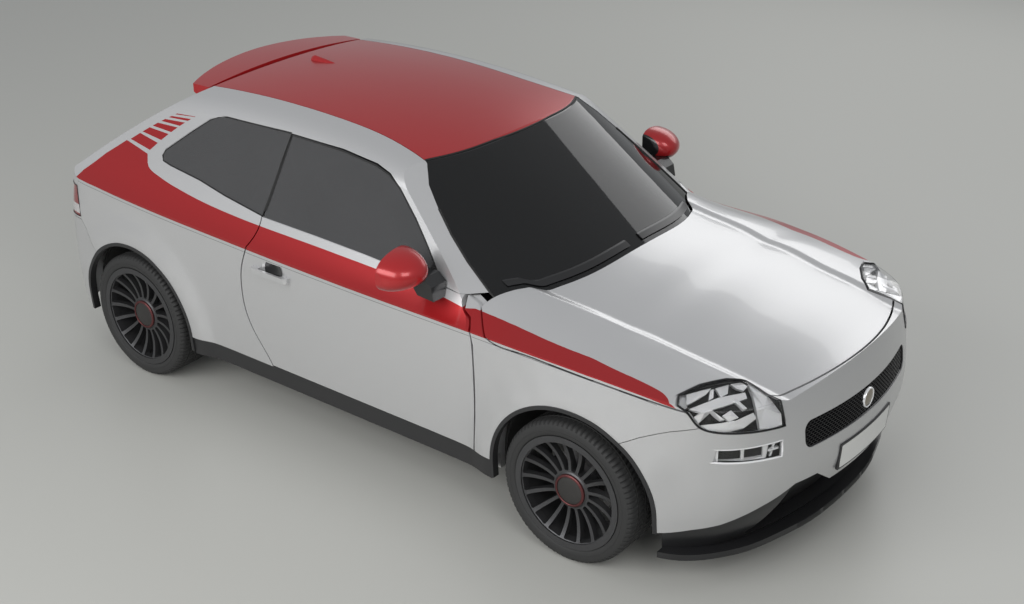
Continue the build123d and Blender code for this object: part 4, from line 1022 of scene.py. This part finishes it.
def reflectors():
    """Bowed red strips low on the bumper, with a back and a rim"""
    bumper = tree_of("rear_bumper")
    columns, rows = 12, 4
    inner_y, length, middle_z, height = 0.50, 0.16, 0.345, 0.036
    for side, sign in SIDES.items():
        verts, faces = [], []
        for i in range(columns + 1):
            y = inner_y + length * i / columns
            edge = min(1.0, i / 1.5, (columns - i) / 1.5)
            for k in range(rows + 1):
                z = middle_z + height * (k / rows - 0.5) * (0.7 + 0.3 * edge)
                hit = bumper.ray_cast(Vector((-2.5, sign * y, z)), Vector((1, 0, 0)))[0]
                bulge = 0.0035 * edge * math.sin(math.pi * k / rows) + 0.0004
                verts.append(hit - Vector((bulge, 0, 0)))
        count = len(verts)
        verts += [v + Vector((0.004, 0, 0)) for v in verts]
        for i in range(columns):
            for k in range(rows):
                a = i * (rows + 1) + k
                face = [a, a + 1, a + rows + 2, a + rows + 1]
                faces += [face, [count + n for n in (face[0], face[3], face[2], face[1])]]
        last = columns * (rows + 1)
        rim = [i * (rows + 1) for i in range(columns + 1)] + [last + k for k in range(1, rows + 1)]
        rim += [i * (rows + 1) + rows for i in range(columns - 1, -1, -1)] + list(range(rows - 1, 0, -1))
        faces += [[a, b, b + count, a + count] for a, b in zip(rim, rim[1:] + rim[:1])]
        piece(f"reflector_{side}", verts, faces, "red_lens", "root", "red_lamp", 50)


def exhaust_tip():
    low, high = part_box("exhaust")
    end = Vector((low.x + 0.015, high.y - 0.07, 0.214))
    pipe = [
        (0.026, 0.0), (0.026, 0.110), (0.029, 0.122), (0.031, 0.128), (0.030, 0.131), (0.0275, 0.128),
        (0.0235, 0.110), (0.0235, 0.0),
    ]
    piece("exhaust_tip", *spun(pipe, end, (-1, 0, 0), 40, True), "chrome", "root", "under_metal")


def high_brake_lamp():
    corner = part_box("roof_spoiler")[0]
    across = [0.15 * i / 8 for i in range(-8, 9)]
    strip = [Vector((corner.x + 0.0035 + 0.10 * y * y, y, corner.z + 0.030)) for y in across]
    piece("high_brake_lamp", *tube(strip, 0.005, flat=1.2), "red_lens", "tailgate", "red_lamp")


# ---------------- seats
VOXEL, BENCH_VOXEL = 0.011, 0.016
INSET, SWELL = 0.013, 0.022                  # how much smaller a pad starts, and how far a point may move
SEAT_WIDTH = 0.62
SEW, SEW_PITCH = 0.006, 0.075                # width and depth of a channel, and the space between channels
BORDER = 0.18                                # the border seam's place, as a share of one seat's width


def loose_parts(node):
    """Each separate solid of a node as its own mesh"""
    made = faces_of(node, lambda middle, normal: True)
    todo, parts = set(made.verts), []
    while todo:
        start = todo.pop()
        group, edge = {start}, [start]
        while edge:
            here = edge.pop()
            for link in here.link_edges:
                other = link.other_vert(here)
                if other in todo:
                    todo.discard(other)
                    group.add(other)
                    edge.append(other)
        numbers = {v: i for i, v in enumerate(sorted(group, key=lambda v: v.index))}
        faces = [[numbers[v] for v in f.verts] for f in made.faces if f.verts[0] in group]
        verts = [v.co.copy() for v in numbers]
        parts.append((verts, faces))
    parts.sort(key=lambda p: tuple(round(min(v[i] for v in p[0]), 3) for i in (1, 0, 2)))
    return parts


def apply_modifiers(obj):
    graph = bpy.context.evaluated_depsgraph_get()
    mesh = bpy.data.meshes.new_from_object(obj.evaluated_get(graph), depsgraph=graph)
    obj.modifiers.clear()
    obj.data = mesh


def cushion(name, verts, faces):
    """Padded form swollen from its solid by cloth simulation, then given sewn channels"""
    low = Vector([min(v[i] for v in verts) for i in range(3)])
    high = Vector([max(v[i] for v in verts) for i in range(3)])
    middle, size = (low + high) / 2, high - low
    keep = [1 - 2 * INSET / size[i] for i in range(3)]
    shrunk = [middle + Vector([(v[i] - middle[i]) * keep[i] for i in range(3)]) for v in verts]
    obj = piece(name, shrunk, faces, "cloth", "root", "seat", 180)
    remesh = obj.modifiers.new("remesh", "REMESH")
    remesh.mode = "VOXEL"
    remesh.voxel_size = BENCH_VOXEL if size.y > 1 else VOXEL
    apply_modifiers(obj)
    start = [v.co.copy() for v in obj.data.vertices]
    cloth = obj.modifiers.new("cloth", "CLOTH")
    cloth.settings.use_pressure = True
    cloth.settings.uniform_pressure_force = 4.0
    cloth.settings.effector_weights.gravity = 0.0
    cloth.settings.quality = 4
    for number in range(1, 21):
        bpy.context.scene.frame_set(number)
    apply_modifiers(obj)
    bpy.context.scene.frame_set(1)
    for vertex, was in zip(obj.data.vertices, start):
        move = vertex.co - was
        if move.length > SWELL:
            vertex.co = was + move.normalized() * SWELL
    smooth = obj.modifiers.new("smooth", "SMOOTH")
    smooth.iterations = 4
    apply_modifiers(obj)
    for vertex in obj.data.vertices:
        for i in range(3):
            vertex.co[i] = max(low[i] + 0.001, min(high[i] - 0.001, vertex.co[i]))
    sew(obj, middle, size)
    fine = obj.modifiers.new("fine", "SUBSURF")
    fine.levels = fine.render_levels = 1
    apply_modifiers(obj)
    obj.data.materials.clear()
    obj.data.materials.append(MATERIALS["cloth"])
    obj.data.shade_smooth()
    return obj


def sew(obj, middle, size):
    """Channels pressed in across the pad, and a border seam near each side"""
    seats = max(1, round(size.y / SEAT_WIDTH))
    wide = size.y / seats
    normals = [vertex.normal.copy() for vertex in obj.data.vertices]
    for vertex, normal in zip(obj.data.vertices, normals):
        share = ((vertex.co.y - middle.y + size.y / 2) % wide) / wide
        depth = 0.0
        for line in (BORDER, 1 - BORDER):
            depth += math.exp(-(((share - line) * wide) / SEW) ** 2)
        if 0.20 < share < 0.80:
            run = (vertex.co.x - middle.x) if size.x > size.z else (vertex.co.z - middle.z)
            away = abs((run / SEW_PITCH) % 1 - 0.5) * SEW_PITCH
            depth += 0.7 * math.exp(-(away / SEW) ** 2)
        if seats > 1:
            edge = min(share, 1 - share) * wide
            depth += math.exp(-(edge / SEW) ** 2)
        vertex.co -= normal * SEW * min(1.0, depth)


def seats():
    made = []
    for node, fill in (("front_seats", 0.75), ("rear_seat", 0.8)):
        for i, (verts, faces) in enumerate(loose_parts(node)):
            obj = cushion(f"{node[:-5].rstrip('_')}_pad_{i + 1}", verts, faces)
            made.append((obj, node))
    for obj, node in made:
        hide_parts(node)


# ---------------- cabin
def cabin_details():
    """Instrument hood and air vents on the dashboard"""
    low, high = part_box("dashboard")
    tree = tree_of("dashboard")

    def front(y, z):
        hit = tree.ray_cast(Vector((low.x - 0.3, y, z)), Vector((1, 0, 0)))[0]
        return hit.x if hit else low.x

    def vent(y, z):
        x = front(y, z) - 0.001
        profile = [(0.036, 0.0), (0.036, 0.006), (0.040, 0.008), (0.043, 0.006), (0.043, 0.0)]
        ring = spun(profile, (x, y, z), (-1, 0, 0), 40, True)
        slats = []
        for slat in (z - 0.02, z - 0.007, z + 0.007, z + 0.02):
            slats.append(tube([(x - 0.003, y - 0.034, slat), (x - 0.003, y + 0.034, slat)], 0.002, flat=2.2))
        return join(ring, *slats)

    vents = join(*[vent(y, 0.80) for y in (-0.56, -0.09, 0.09, 0.62)])
    piece("air_vents", *vents, "gloss_black", "root", "black_trim")
    hood, steps = [], 15
    for i in range(steps):
        turn = math.pi * i / (steps - 1)
        hood.append(Vector((low.x + 0.03, 0.37 + 0.155 * math.cos(turn), 0.865 + 0.062 * math.sin(turn))))
    piece("instrument_hood", *tube(hood, 0.011), "trim", "root", "black_trim")


# ---------------- stage, light and camera
def area_light(name, place, target, size, power):
    data = bpy.data.lights.new(name, "AREA")
    data.shape = "RECTANGLE"
    data.size, data.size_y = size
    data.energy = power
    lamp = bpy.data.objects.new(name, data)
    bpy.context.scene.collection.objects.link(lamp)
    lamp.location = place
    lamp.rotation_euler = (Vector(target) - Vector(place)).to_track_quat("-Z", "Y").to_euler()


def studio():
    bpy.ops.mesh.primitive_plane_add(size=160, location=(0, 0, 0))
    floor = bpy.context.object
    floor.name = "floor"
    shader = Shader("floor_paint", (0.50, 0.50, 0.47), rough=0.42)
    shader.bump(shader.noise(60, 3.0), strength=0.02, distance=0.001)
    floor.data.materials.append(shader.material)
    world = bpy.data.worlds.new("studio")
    bpy.context.scene.world = world
    world.use_nodes = True
    background = world.node_tree.nodes["Background"]
    background.inputs["Color"].default_value = (0.80, 0.82, 0.84, 1)
    background.inputs["Strength"].default_value = 0.52
    area_light("right_side", (-0.4, -7.5, 4.4), (0, 0, 0.6), (8.0, 4.0), 430)
    area_light("right_front", (6.0, -4.0, 5.0), (0.8, 0, 0.5), (3.0, 3.0), 120)
    area_light("left_side", (0.0, 8.0, 4.6), (0, 0, 0.6), (8.0, 4.0), 150)


def camera():
    """Seen from the right front corner and above"""
    data = bpy.data.cameras.new("camera")
    data.sensor_width = 36.0
    data.lens = 53.64
    cam = bpy.data.objects.new("camera", data)
    bpy.context.scene.collection.objects.link(cam)
    cam.location = (4.1363 + MID_X, -4.9009, 3.5059)
    yaw, pitch = math.radians(37.9775), math.radians(25.7177)
    ahead = Vector((-math.sin(yaw) * math.cos(pitch), math.cos(yaw) * math.cos(pitch), -math.sin(pitch)))
    cam.rotation_euler = ahead.to_track_quat("-Z", "Y").to_euler()
    bpy.context.scene.camera = cam


bpy.context.scene.view_settings.view_transform = "Standard"
camera()
studio()
paint_nodes()
tyres()
wheel_details()
front_lamps()
grille()
plates()
seals()
mirror_glass()
roof_fin()
rear_wiper()
reflectors()
exhaust_tip()
high_brake_lamp()
seats()
cabin_details()
